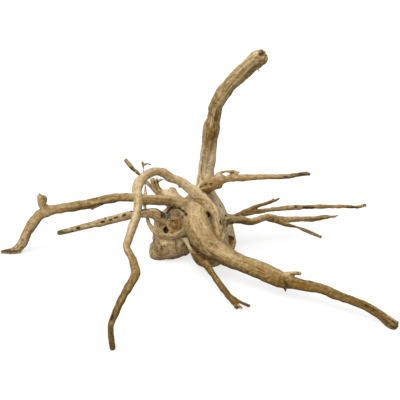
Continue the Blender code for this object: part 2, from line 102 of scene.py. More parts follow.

# %% [markdown]
# ## The limbs
# A root is a bundle of limbs, and each limb is told by its middle line and its thickness. The tables hold
# those routes, set against the photograph, as in the part's source. A limb could be a curve with
# a bevel, but then nothing could be asked of its rings later, and the grain needs them.

# %% Tables of limbs, lumps and hollows
# Each limb is a route of (x, y, z, radius) in millimetres, from its root in the stump to its tip.
LIMBS = {
    # The stout limb that stands up from the back of the stump and leans to the right
    "upright": [
        (5, 10, 56, 15), (0, 12, 83, 11.4), (-2, 12, 101, 10.7), (-1, 10, 120, 9.9),
        (1.7, 6, 142, 9.6), (3.5, 2, 163, 9.8), (5.7, -2, 183, 10.7), (8, -4.4, 192, 9),
        (9.2, -5.5, 200, 8.6), (11.7, -8, 214, 8.5), (19.8, -13, 230, 9.4), (31.6, -19, 247.5, 9.8),
        (46.5, -26, 264.5, 10), (58.5, -32, 277.6, 10), (64.5, -35, 282, 9.5), (68.5, -37, 284.4, 7.6),
    ],
    # The thick limb in front, which bulges over the stump, then runs to the floor at the right
    "bulge": [
        (-2, -10, 88, 12), (-9, -25, 88, 12.6), (-12, -38, 80, 14.5), (-11, -50, 68, 17.3),
        (-3, -60, 55, 17.4), (9, -68, 44.4, 15.7), (25, -79, 37.5, 13), (47, -94, 32.4, 11),
        (69, -107, 29.1, 10.7), (88, -119, 26, 10), (99, -126, 25.3, 8.6), (113, -134, 25.6, 6.6),
        (136, -147, 26, 6.5), (161, -162, 22.2, 5.7), (183, -175, 19.2, 5.6), (201, -186, 13, 5.7),
        (211.5, -193.4, 7, 7), (216.5, -197.6, 5.5, 6.7), (219.6, -200.2, 4.8, 4.8),
    ],
    # The limb that grows up the bulge's right side, folds over its top, arches over the left of
    # the stump and droops to the floor in front
    "arch": [
        (20, -54, 44, 6), (16, -52, 60, 5.6), (13, -49, 73, 5.2), (9, -46, 85, 5.4), (3, -42, 92, 6),
        (-5, -38, 99, 7.1), (-15, -37, 107, 7.1), (-26, -37, 115.8, 6.1), (-35, -38, 122.6, 5.4),
        (-45, -40, 127.5, 5.6), (-55, -44, 136, 6.3), (-65, -51, 140.1, 6.5), (-75, -61, 139.6, 6.1),
        (-83, -74, 136, 6), (-86, -86, 131, 5.7), (-84, -98, 124, 5.3), (-83, -111, 118, 5.1),
        (-85, -124, 110, 5.3), (-88.8, -138, 102, 5.5), (-92.8, -151, 93, 5.3), (-94.8, -160, 87, 5.1),
        (-89.6, -170, 81, 4.9), (-85.5, -179, 75, 5.1), (-83, -190, 67, 6.2), (-87.6, -199, 60, 5),
        (-94, -209, 52, 4.6), (-99.8, -219, 44, 4.1), (-105, -228, 35, 3.7), (-109.4, -236, 26, 3.6),
        (-109.3, -242, 14, 3.8), (-107.2, -246, 4, 3.2), (-106.6, -248.5, 1, 2.2),
    ],
    # The long limb to the left, which ends in a turned-out foot
    "left_long": [
        (-5, -4, 66, 12), (-18, -4, 73, 9.6), (-30, -1, 76, 8.4), (-44, 2, 79, 7.2),
        (-61, 2, 81, 6.3), (-77, 3, 81, 6), (-96, 4, 83, 5.8), (-115, 6, 83, 5.6),
        (-134, 7, 80, 5.9), (-149, 8, 75.2, 6.5), (-171, 10, 69.4, 6.9), (-194, 11, 65.4, 7.2),
        (-210, 12, 61, 7.5), (-222, 13, 55, 6.9), (-231.2, 13, 43, 6.9), (-240.6, 12.5, 28.5, 6.6),
        (-249.5, 12, 12.5, 6.2), (-258, 11.5, 4.2, 5.3), (-268, 11, 2.6, 3.8), (-277, 11, 2, 2),
    ],
    "left_heel": [(-244, 12, 22, 4.6), (-251, 11.5, 8, 5), (-254, 11, 1, 3.6)],
    # The broken stub that stands on the left limb's bend
    "left_knob": [(-210, 12, 61, 6.2), (-217, 11, 69, 5.3), (-219, 11, 76, 4.8), (-218.4, 11, 82.4, 4.6)],
    "left_knob_tooth": [(-217.6, 11, 79, 3.5), (-212.8, 10, 81.6, 2.6), (-211.2, 10, 78.8, 1.6)],
    "left_spur": [(-145, 8, 73.4, 4.6), (-149, 8, 69.6, 3.2), (-151.4, 7, 65.4, 1.2)],
    # The shorter limb to the left, bored by worms, which hangs in the air
    "left_short": [
        (-34, -4, 40, 12), (-46, -8, 49, 10.5), (-55, -10, 57, 8.6), (-63, -12, 64, 7.4),
        (-70, -14, 69, 6.6), (-79, -17, 70, 6.2), (-93, -22, 71, 5.5), (-109, -28, 69, 5.1),
        (-127, -33, 66, 5), (-145, -39, 64, 4.6), (-163, -45, 62, 4.2), (-180, -50, 59, 3.6),
        (-190, -53, 58, 2.4),
    ],
    # The rootlet that runs as a ledge round the stump's left side, then rises behind the arch
    "rootlet": [
        (-20, -44, 66, 7), (-29, -39, 55, 5), (-37, -33, 47, 4), (-46, -29, 42, 3.8),
        (-56, -27, 42, 3.8), (-65, -24, 46, 3.8), (-72, -20, 51, 2.8), (-76, -16, 57, 2.4),
        (-78, -10, 62, 2.1), (-80, -2, 67, 2), (-82, 6, 73, 2), (-82, 13, 82, 2),
        (-81, 16, 92, 1.8), (-82, 14, 107, 1.6), (-83, 11, 122, 1.5), (-84, 8, 133, 1.2),
    ],
    "rootlet_twig": [(-83, 11, 125, 1.3), (-79, 9, 129, 1.2), (-72, 7, 128, 1)],
    # The strand that joins the lower left limb to the ledge below it
    "left_stay": [(-61, -12, 63, 5.4), (-65, -14, 56, 4.2), (-64.5, -17, 49, 4.2), (-60, -20, 43, 5)],
    # The straight stick that points up and back behind the arch
    "back_stick": [
        (-36, 26, 52, 7), (-55, 34, 66, 4), (-68, 40, 77, 2.8), (-80, 46, 88, 2.5),
        (-91, 52, 98, 2.6), (-101, 57, 106, 2.8), (-110, 62, 116, 2.5),
    ],
    # The torn-off limb at the back left, with its standing splinters
    "torn": [(-22, 18, 50, 16), (-36, 22, 62, 14), (-46, 26, 71, 12), (-53, 28, 76, 9), (-60, 30, 79, 6)],
    "torn_crown": [(-44, 27, 74, 9), (-46, 28, 83, 5.6), (-46, 28, 87, 4)],
    "splinter_a": [
        (-62, 30, 76, 4.2), (-65, 30, 80, 3.2), (-70, 30, 88, 2.4), (-73, 30, 94, 1.9), (-74, 30, 100, 1.2),
    ],
    "splinter_b": [
        (-60, 31, 77, 4.2), (-62.5, 31, 81, 3.2), (-67, 31, 89, 2.4), (-70, 31, 95, 1.9), (-71, 31, 101, 1.2),
    ],
    "splinter_c": [
        (-57, 29, 79, 4.2), (-60, 29, 82, 3.2), (-64, 29, 89, 2.4), (-66, 29, 95, 1.9), (-67, 29, 101, 1.2),
    ],
    "splinter_twig": [(-65, 29, 96, 1.6), (-61, 29, 99, 1.5), (-56, 29, 99, 1.2)],
    # A short nub of wood below the left limb
    "nub": [(-42, 12, 71, 6.5), (-50, 9, 65, 4.6), (-56, 4, 62, 3.6), (-60, -2, 58, 4)],
    # The weathered, hollowed limb at the top right, with its long thin rod
    "chunk": [
        (-2, -4, 84, 9), (-3, -12, 94, 8), (-3, -18, 102, 7.2), (1, -21, 108, 7.8),
        (7, -22, 112.5, 7.9), (13, -22, 116.5, 7.9), (18, -22, 119, 6.7), (24, -22, 119.6, 4),
        (31, -22, 121, 4), (38, -22, 120.8, 3.9), (52, -24, 122.3, 3.8), (67, -26, 123.8, 3.8),
        (92, -30, 125.8, 3.6), (107, -33, 127.8, 3.4), (121, -36, 131.8, 3.2), (130, -38, 132, 2.2),
    ],
    "chunk_nose": [(2, -22, 108, 6.4), (-5, -22, 108, 3.8), (-9, -22, 107, 2), (-11, -22, 106.7, 1)],
    "chunk_belly": [(14, -22, 111.6, 5), (18, -22, 108.2, 2.8)],
    "chunk_bridge": [
        (12, -21, 124, 3), (17, -21, 127.6, 2.1), (22, -21, 129.3, 2), (27, -21, 129.8, 2.2),
        (32, -21, 128.4, 3.4), (36, -21, 125, 3.2), (36, -21.5, 122, 3),
    ],
    "chunk_knob": [(34, -21, 129.2, 2.9), (39, -21, 128, 1.5), (41.5, -21, 128, 1)],
    "chunk_prong": [(114, -35, 130, 2.4), (121, -36, 133.6, 2), (127, -37, 134.8, 1.4)],
    # The forked limb that leans forward to the floor from below the bulge
    "front": [
        (-20, -12, 40, 11), (-17, -32, 34, 7), (-14, -48, 30, 7), (-8.2, -64, 27, 6.4), (1, -82, 24, 5.1),
        (7.8, -96, 20, 4.8), (15.6, -113, 15, 4.3), (24, -130, 11, 4), (30.6, -141, 7, 3.7),
        (36.6, -152, 3.4, 2.9),
    ],
    "front_skirt": [(-16.5, -42, 28, 6), (-14, -52, 23.5, 5.6), (-9, -62, 22, 5)],
    "front_fork": [(28, -134, 10, 3), (37, -142, 7, 2.2), (43.5, -146, 6, 2.1), (51, -150, 4.4, 1.6)],
    "front_stub": [(-32, -18, 46, 5.5), (-29, -32, 42, 4.4), (-25, -42, 38, 3.2), (-21, -50, 33, 3)],
    # The pair of thin limbs at the right, each with a fork
    "right_low": [
        (16, 4, 52, 12), (32, 4, 53, 7.3), (44, 7, 51, 5.6), (57, 11, 45.6, 5.6),
        (66, 14, 46.5, 4.9), (76, 16, 49.5, 4.5), (87, 19, 49, 4.4), (98, 22, 45.5, 4.2),
        (110, 25, 43, 3.9), (126, 30, 42, 3.6), (144, 35, 40, 3.3), (160, 39, 41, 2.8),
        (176, 43, 40, 1.8),
    ],
    "right_low_twig": [
        (82, 19, 46, 3.2), (93, 19, 43, 3.1), (106, 18, 39, 3), (121, 16, 36, 2.8),
        (136, 14, 30, 2.7), (154, 11.5, 23, 2.4),
    ],
    "right_high": [
        (16, 22, 42, 9), (34, 26, 44, 4.8), (45, 29, 48, 4.4), (58, 32, 50, 3.8),
        (75, 36, 51.2, 3.3), (92, 40, 52, 3.1), (113, 45, 52.2, 2.9), (124, 47.5, 52.2, 3.5),
        (129, 48.5, 51.8, 2.9), (150, 53, 50.6, 2.8), (169, 57, 49.1, 2.7), (190, 61, 47.4, 2.8),
        (206, 64, 45.4, 2.9), (214, 65.7, 46.2, 2.7), (220, 67, 47.4, 2.3),
    ],
    "right_high_twig": [
        (48, 30, 49.5, 4.2), (60, 33, 56, 3.1), (73, 36, 60.2, 2.6), (86, 39, 62.6, 2.7),
        (92.4, 41, 64.1, 2.3), (98.6, 43, 67.6, 1.8),
    ],
    "right_high_prong": [(84, 39, 62.5, 2.5), (88.6, 40, 66, 2), (90.8, 41, 68.6, 1.6)],
    # Small spurs on the thick front limb and on the arch
    "bulge_spur": [(90, -119, 30, 5), (102, -124, 35.5, 3.4), (109, -126, 37, 2.6), (114, -127, 36, 2)],
    "bulge_thorn": [(94, -124, 22, 4), (95.5, -125, 14.5, 2.6), (96, -125.5, 10.5, 1.8)],
    "arch_spur": [(-34, -40, 122, 3), (-35, -40, 116, 1.4), (-36, -40, 114, 0.9)],
    # Old root flares grown together down the back and sides of the stump
    "flare_back": [(-3, 18, 94, 8), (3, 30, 72, 10.5), (-4, 38, 48, 12), (5, 36, 22, 14), (8, 30, 4, 11)],
    "flare_back_left": [
        (-10, 12, 88, 8), (-25, 26, 66, 9), (-28, 35, 44, 11), (-40, 32, 22, 13), (-42, 26, 5, 10),
    ],
    "flare_back_right": [
        (3, 16, 86, 7), (15, 25, 60, 9), (19, 32, 36, 10), (27, 28, 14, 10.5), (25, 22, 4, 9),
    ],
    "back_root": [
        (12, 20, 68, 5), (13, 34, 60, 5.4), (2, 47, 50, 5.6), (-14, 48, 38, 5.8), (-28, 45, 26, 5.6),
        (-42, 42, 16, 5), (-56, 34, 9, 3.6), (-64, 28, 6, 2.4),
    ],
    "flare_right": [(4, 6, 83, 8), (13, 7, 64, 10), (23, 8, 42, 12), (26, 6, 18, 12), (24, 4, 4, 10)],
    "flare_left": [(-32, 12, 58, 14), (-50, 16, 44, 12), (-58, 17, 20, 11), (-58, 16, 5, 9)],
}

# The stump is a cluster of swollen lumps: (centre, half sizes, turn about Z in degrees), in millimetres
LUMPS = {
    "heart": ((1, 8, 38), (29, 30, 48), 0),
    "crown": ((-6, 4, 78), (17, 20, 25), 0),
    "left_belly": ((-47, -9, 31), (25, 21, 25), 0),
    "left_front": ((-55, -8, 23), (17, 20, 21), 0),
    "left_foot": ((-50, 9, 12), (23, 21, 20), 0),
    "left_corner": ((-63, 1, 9), (14, 14, 16), 20),
    "dome": ((-36, -13, 57.5), (18, 13, 17), 0),
    "right_lobe": ((-30, 9, 27), (14, 18, 29), 0),
    "eye_lid": ((2, -43, 88), (7, 5, 5), 0),
    "keel": ((3, -12, 12), (21, 24, 26), 0),
}

# Hollows rotted into the stump: (centre, half sizes, turn about Z in degrees), in millimetres
HOLLOWS = {
    "eye": ((2, -42, 78.5), (2.6, 14, 4.6), 0),
    "left_hole": ((-53, -22, 48), (3.4, 10, 4), 0),
    "right_rot": ((32.5, -4, 25), (4.2, 8, 6), 0),
    "under_limb": ((-54, -20, 65), (6.5, 10, 3.8), 0),
    "ledge": ((-51, -38, 57), (15, 13, 9), 0),
    "back_hollow": ((-14, 48, 62), (5, 10, 9), 20),
    "back_slot": ((11, 50, 26), (3.2, 9, 9), -15),
}

# Small splinters and teeth that are too fine for the solid: (x, y, z, radius) in millimetres
SPLINTERS = {
    "right_high_thorn": [(88, 39, 52, 1.6), (88, 39, 55.5, 1), (88.5, 39, 57.5, 0.7)],
    "rootlet_thorn": [(-82, 13, 84, 1.6), (-80, 13, 86, 1.1), (-78.5, 13, 87, 0.8)],
    "left_knob_burl": [(-215.8, 10, 73, 3.6), (-214.6, 10, 78.6, 4.4), (-215.6, 10, 83.2, 3.5)],
    "left_knob_splinter": [(-219.5, 11, 80, 2.6), (-220.6, 11, 84, 1.7), (-220.4, 11, 86.6, 1)],
    "upright_thorn": [(60, -36, 270, 1.8), (62, -36.5, 265.5, 0.9), (63, -37, 264, 0.6)],
    "right_low_fork": [(166, 41, 40.2, 2.6), (174, 43, 40.6, 2), (180, 44, 41.8, 1.4)],
    "front_thorn": [(34, -148, 5.5, 2.4), (39, -152, 4.2, 1.6), (42, -154, 3.6, 1)],
}

# Limbs that were snapped off: how many teeth their end has, and the longest of them in millimetres
RAGGED = {"upright": (11, 3.2), "bulge": (6, 2.2), "left_knob": (5, 2.4)}

# How a limb's section departs from a circle: (lobes, depth as a share of the radius, turns per metre)
FLUTES = ((2, 0.07, 5.0), (3, 0.045, -8.0))

ROUTES = {**LIMBS, **SPLINTERS}
print(len(LIMBS), "limbs,", len(LUMPS), "lumps,", len(HOLLOWS), "hollows")

# %% A limb's route
ROUTE_STEP = 3 * MM


def smooth_route(points):
    """Catmull-Rom curve through a limb's points, as (place, radius) about every ROUTE_STEP."""
    knots = [(Vector(p[:3]) * MM, p[3] * MM) for p in points]
    first = (2 * knots[0][0] - knots[1][0], knots[0][1])
    last = (2 * knots[-1][0] - knots[-2][0], knots[-1][1])
    padded = [first] + knots + [last]
    route = []
    for (p0, r0), (p1, r1), (p2, r2), (p3, r3) in zip(padded, padded[1:], padded[2:], padded[3:]):
        steps = max(1, round((p2 - p1).length / ROUTE_STEP))
        for step in range(steps):
            t = step / steps
            weights = (
                0.5 * (-t + 2 * t**2 - t**3),
                0.5 * (2 - 5 * t**2 + 3 * t**3),
                0.5 * (t + 4 * t**2 - 3 * t**3),
                0.5 * (-(t**2) + t**3),
            )
            place = sum((w * p for w, p in zip(weights, (p0, p1, p2, p3))), Vector())
            route.append((place, r1 + (r2 - r1) * t))
    route.append(knots[-1])
    return route


def ring_frames(route):
    """A matrix for each ring of a limb: across it in X and Y, along it in Z, turning as little as it can."""
    frames = []
    turn = None
    for index, (place, radius) in enumerate(route):
        ahead = route[min(index + 1, len(route) - 1)][0] - route[max(index - 1, 0)][0]
        ahead.normalize()
        if turn is None:
            turn = ahead.to_track_quat("Z", "Y")
        else:
            turn = (turn @ Vector((0, 0, 1))).rotation_difference(ahead) @ turn
        frames.append(Matrix.LocRotScale(place, turn, Vector((radius, radius, radius))))
    return frames


routes = {name: smooth_route(points) for name, points in ROUTES.items()}
frames = {name: ring_frames(route) for name, route in routes.items()}
print(sum(len(route) for route in routes.values()), "rings")

# %% A limb's skin
SIDES = 24
TOOTH_SIDES = 8


def flute(ring, frame, distance):
    """Presses lobes into a ring, so that a limb isn't a round pipe."""
    inverse = frame.inverted()
    for vert in ring:
        local = inverse @ vert.co
        angle = math.atan2(local.y, local.x)
        swell = 1.0
        for lobes, depth, turns in FLUTES:
            swell += depth * math.cos(lobes * angle + math.tau * turns * distance)
        vert.co = frame @ Vector((local.x * swell, local.y * swell, local.z))


def add_limb(bm, name):
    """Extrudes a ring along a limb's route, and closes both ends."""
    route = routes[name]
    rings_at = frames[name]
    ring = bmesh.ops.create_circle(bm, segments=SIDES, radius=1, matrix=rings_at[0])["verts"]
    edges = list({edge for vert in ring for edge in vert.link_edges})
    start = list(edges)
    rings = [ring]
    for before, after in zip(rings_at, rings_at[1:]):
        grown = bmesh.ops.extrude_edge_only(bm, edges=edges)["geom"]
        ring = [item for item in grown if isinstance(item, bmesh.types.BMVert)]
        edges = [item for item in grown if isinstance(item, bmesh.types.BMEdge)]
        bmesh.ops.transform(bm, verts=ring, matrix=after @ before.inverted())
        rings.append(ring)
    distance = 0.0
    for index, ring in enumerate(rings):
        if index:
            distance += (route[index][0] - route[index - 1][0]).length
        flute(ring, rings_at[index], distance)
    bmesh.ops.contextual_create(bm, geom=start)
    bmesh.ops.contextual_create(bm, geom=edges)


def add_lump(bm, centre, half_sizes, degrees):
    turn = Matrix.Rotation(math.radians(degrees), 4, "Z")
    sizes = Matrix.Diagonal(Vector(half_sizes) * MM).to_4x4()
    place = Matrix.Translation(Vector(centre) * MM)
    bmesh.ops.create_icosphere(bm, subdivisions=4, radius=1, matrix=place @ turn @ sizes)


def add_teeth(bm, name, number, longest, draw):
    """Sets small cones round a limb's end, so that it looks snapped and not sawn."""
    place, radius = routes[name][-1]
    turn = frames[name][-1].to_quaternion()
    for tooth in range(number):
        angle = math.tau * (tooth + draw.uniform(-0.3, 0.3)) / number
        foot = place + turn @ Vector((math.cos(angle), math.sin(angle), 0)) * radius * draw.uniform(0.6, 0.95)
        length = longest * draw.uniform(0.4, 1) * MM
        width = draw.uniform(0.9, 1.8) * MM
        stand = Matrix.LocRotScale(foot, turn, Vector((1, 1, 1)))
        ends = {"radius1": 2 * width, "radius2": 0.4 * width, "depth": 2 * length}
        bmesh.ops.create_cone(bm, cap_ends=True, segments=TOOTH_SIDES, matrix=stand, **ends)


def mesh_object(name, bm):
    bmesh.ops.recalc_face_normals(bm, faces=bm.faces)
    mesh = bpy.data.meshes.new(name)
    bm.to_mesh(mesh)
    bm.free()
    shape = bpy.data.objects.new(name, mesh)
    bpy.context.collection.objects.link(shape)
    return shape


bm = bmesh.new()
for name in ROUTES:
    add_limb(bm, name)
for lump in LUMPS.values():
    add_lump(bm, *lump)
for name, (number, longest) in RAGGED.items():
    add_teeth(bm, name, number, longest, random.Random(name))
wood = mesh_object("root_wood", bm)

bm = bmesh.new()
for hollow in HOLLOWS.values():
    add_lump(bm, *hollow)
cutter = mesh_object("hollows", bm)
print(len(wood.data.polygons), "faces before they are fused")

# %% [markdown]
# ## One skin
# A root has no joints: its limbs grow out of the stump, and the creases between them are rounded. A
# Boolean union of forty limbs is slow and leaves sharp creases. A voxel remesh melts everything into one
# skin of even small faces, which suits the relief that comes next. The hollows are cut out, a second
# remesh cleans the cut edges, and a few passes of smoothing round the creases. The slow swells are the
# same noise as in the part's source.

# %% Fuse the limbs
VOXEL = 0.9 * MM
SMOOTH_PASSES = 6
SMOOTH_SHARE = 0.45
SWELLS = ((3.2 * MM, 24 * MM), (1.3 * MM, 9 * MM))  # (height, wavelength)


def add_fuse(shape):
    remesh = shape.modifiers.new("fuse", "REMESH")
    remesh.mode = "VOXEL"
    remesh.voxel_size = VOXEL


def keep_evaluated(shape):
    """Makes what the modifiers give the object's own mesh, and clears them."""
    graph = bpy.context.evaluated_depsgraph_get()
    mesh = bpy.data.meshes.new_from_object(shape.evaluated_get(graph))
    shape.modifiers.clear()
    shape.data = mesh


add_fuse(wood)
cut = wood.modifiers.new("cut", "BOOLEAN")
cut.operation = "DIFFERENCE"
cut.object = cutter
add_fuse(wood)
ease = wood.modifiers.new("ease", "SMOOTH")
ease.factor = SMOOTH_SHARE
ease.iterations = SMOOTH_PASSES
for height, wavelength in SWELLS:
    clouds = bpy.data.textures.new("swell", "CLOUDS")
    clouds.noise_scale = wavelength
    displace = wood.modifiers.new("swell", "DISPLACE")
    displace.texture = clouds
    displace.texture_coords = "LOCAL"
    displace.mid_level = 0.5
    displace.strength = height
keep_evaluated(wood)
bpy.data.objects.remove(cutter)
print(len(wood.data.polygons), "faces on the fused skin")

# %% [markdown]
# ## The grain
# Fibres run along a limb, and so do the furrows that weather opens between them. To follow them, each
# vertex finds its limb and is measured in that limb's own terms: how far along it, and where across it.
# Noise read in those measures, squeezed across and stretched along, gives long streaks that bend with the
# wood. Object coordinates would give straight streaks, which run off a bent limb like wallpaper.

# %% Measure along and across the limbs
GRAIN_BLOCK = 4000  # vertices at a time, to spare memory


def gather(routes, frames):
    """Every ring's centre, radius, X, Y and Z directions, distance along, and limb, as arrays."""
    rows = []
    for limb, name in enumerate(routes):
        distance = 0.0
        route = routes[name]
        for index, (place, radius) in enumerate(route):
            if index:
                distance += (place - route[index - 1][0]).length
            turn = frames[name][index].to_3x3().normalized()
            rows.append([*place, radius, *turn.col[0], *turn.col[1], *turn.col[2], distance, limb])
    return np.array(rows, np.float32)


rings = gather(routes, frames)
ring_place, ring_radius = rings[:, 0:3], rings[:, 3]
ring_x, ring_y, ring_z = rings[:, 4:7], rings[:, 7:10], rings[:, 10:13]
ring_along, ring_limb = rings[:, 13], rings[:, 14].astype(int)
limb_length = np.array([ring_along[ring_limb == limb].max() for limb in range(len(routes))])


def measure(places):
    """For each place: (across X, across Y, along) in metres, its limb, how far it lies off that limb's
    surface, and how much further the next limb is."""
    grain = np.empty((len(places), 3), np.float32)
    limbs = np.empty(len(places), int)
    off = np.empty(len(places), np.float32)
    gap = np.empty(len(places), np.float32)
    ring_square = (ring_place**2).sum(1)
    last = len(ring_place) - 1
    for start in range(0, len(places), GRAIN_BLOCK):
        block = places[start : start + GRAIN_BLOCK]
        square = (block**2).sum(1)[:, None] + ring_square - 2 * block @ ring_place.T
        away = np.sqrt(np.maximum(square, 0)) - ring_radius
        nearest = away.argmin(1)
        limb = ring_limb[nearest]
        best = away[np.arange(len(block)), nearest]
        away[ring_limb[None, :] == limb[:, None]] = np.inf
        ahead = ((block - ring_place[nearest]) * ring_z[nearest]).sum(1)
        step = np.where(ahead > 0, 1, -1)
        other = np.clip(nearest + step, 0, last)
        other = np.where(ring_limb[other] == limb, other, nearest)
        span = np.linalg.norm(ring_place[other] - ring_place[nearest], axis=1)
        share = np.where(span > 0, np.clip(np.abs(ahead) / np.maximum(span, 1e-9), 0, 1), 0)[:, None]
        centre = ring_place[nearest] * (1 - share) + ring_place[other] * share
        across = block - centre
        x_way = ring_x[nearest] * (1 - share) + ring_x[other] * share
        y_way = ring_y[nearest] * (1 - share) + ring_y[other] * share
        rows = slice(start, start + len(block))
        grain[rows, 0] = (across * x_way).sum(1)
        grain[rows, 1] = (across * y_way).sum(1)
        grain[rows, 2] = ring_along[nearest] + ahead
        limbs[rows] = limb
        off[rows] = best
        gap[rows] = away.min(1) - best
    return grain, limbs, off, gap


def smoothstep(low, high, values):
    t = np.clip((values - low) / (high - low), 0, 1)
    return t * t * (3 - 2 * t)


CLEAR_GAP = 2.5 * MM  # the grain is clear where the next limb is this much further off
FADE_START, FADE_END = 4 * MM, 9 * MM  # how deep the stump lies over a limb where its grain fades out


def grain_share(off, gap):
    """1 on a limb, and 0 where limbs meet or where the stump's lumps cover them."""
    return smoothstep(0, CLEAR_GAP, gap) * (1 - smoothstep(FADE_START, FADE_END, off))


print("the longest limb:", round(float(limb_length.max()) / MM), "mm along its middle line")
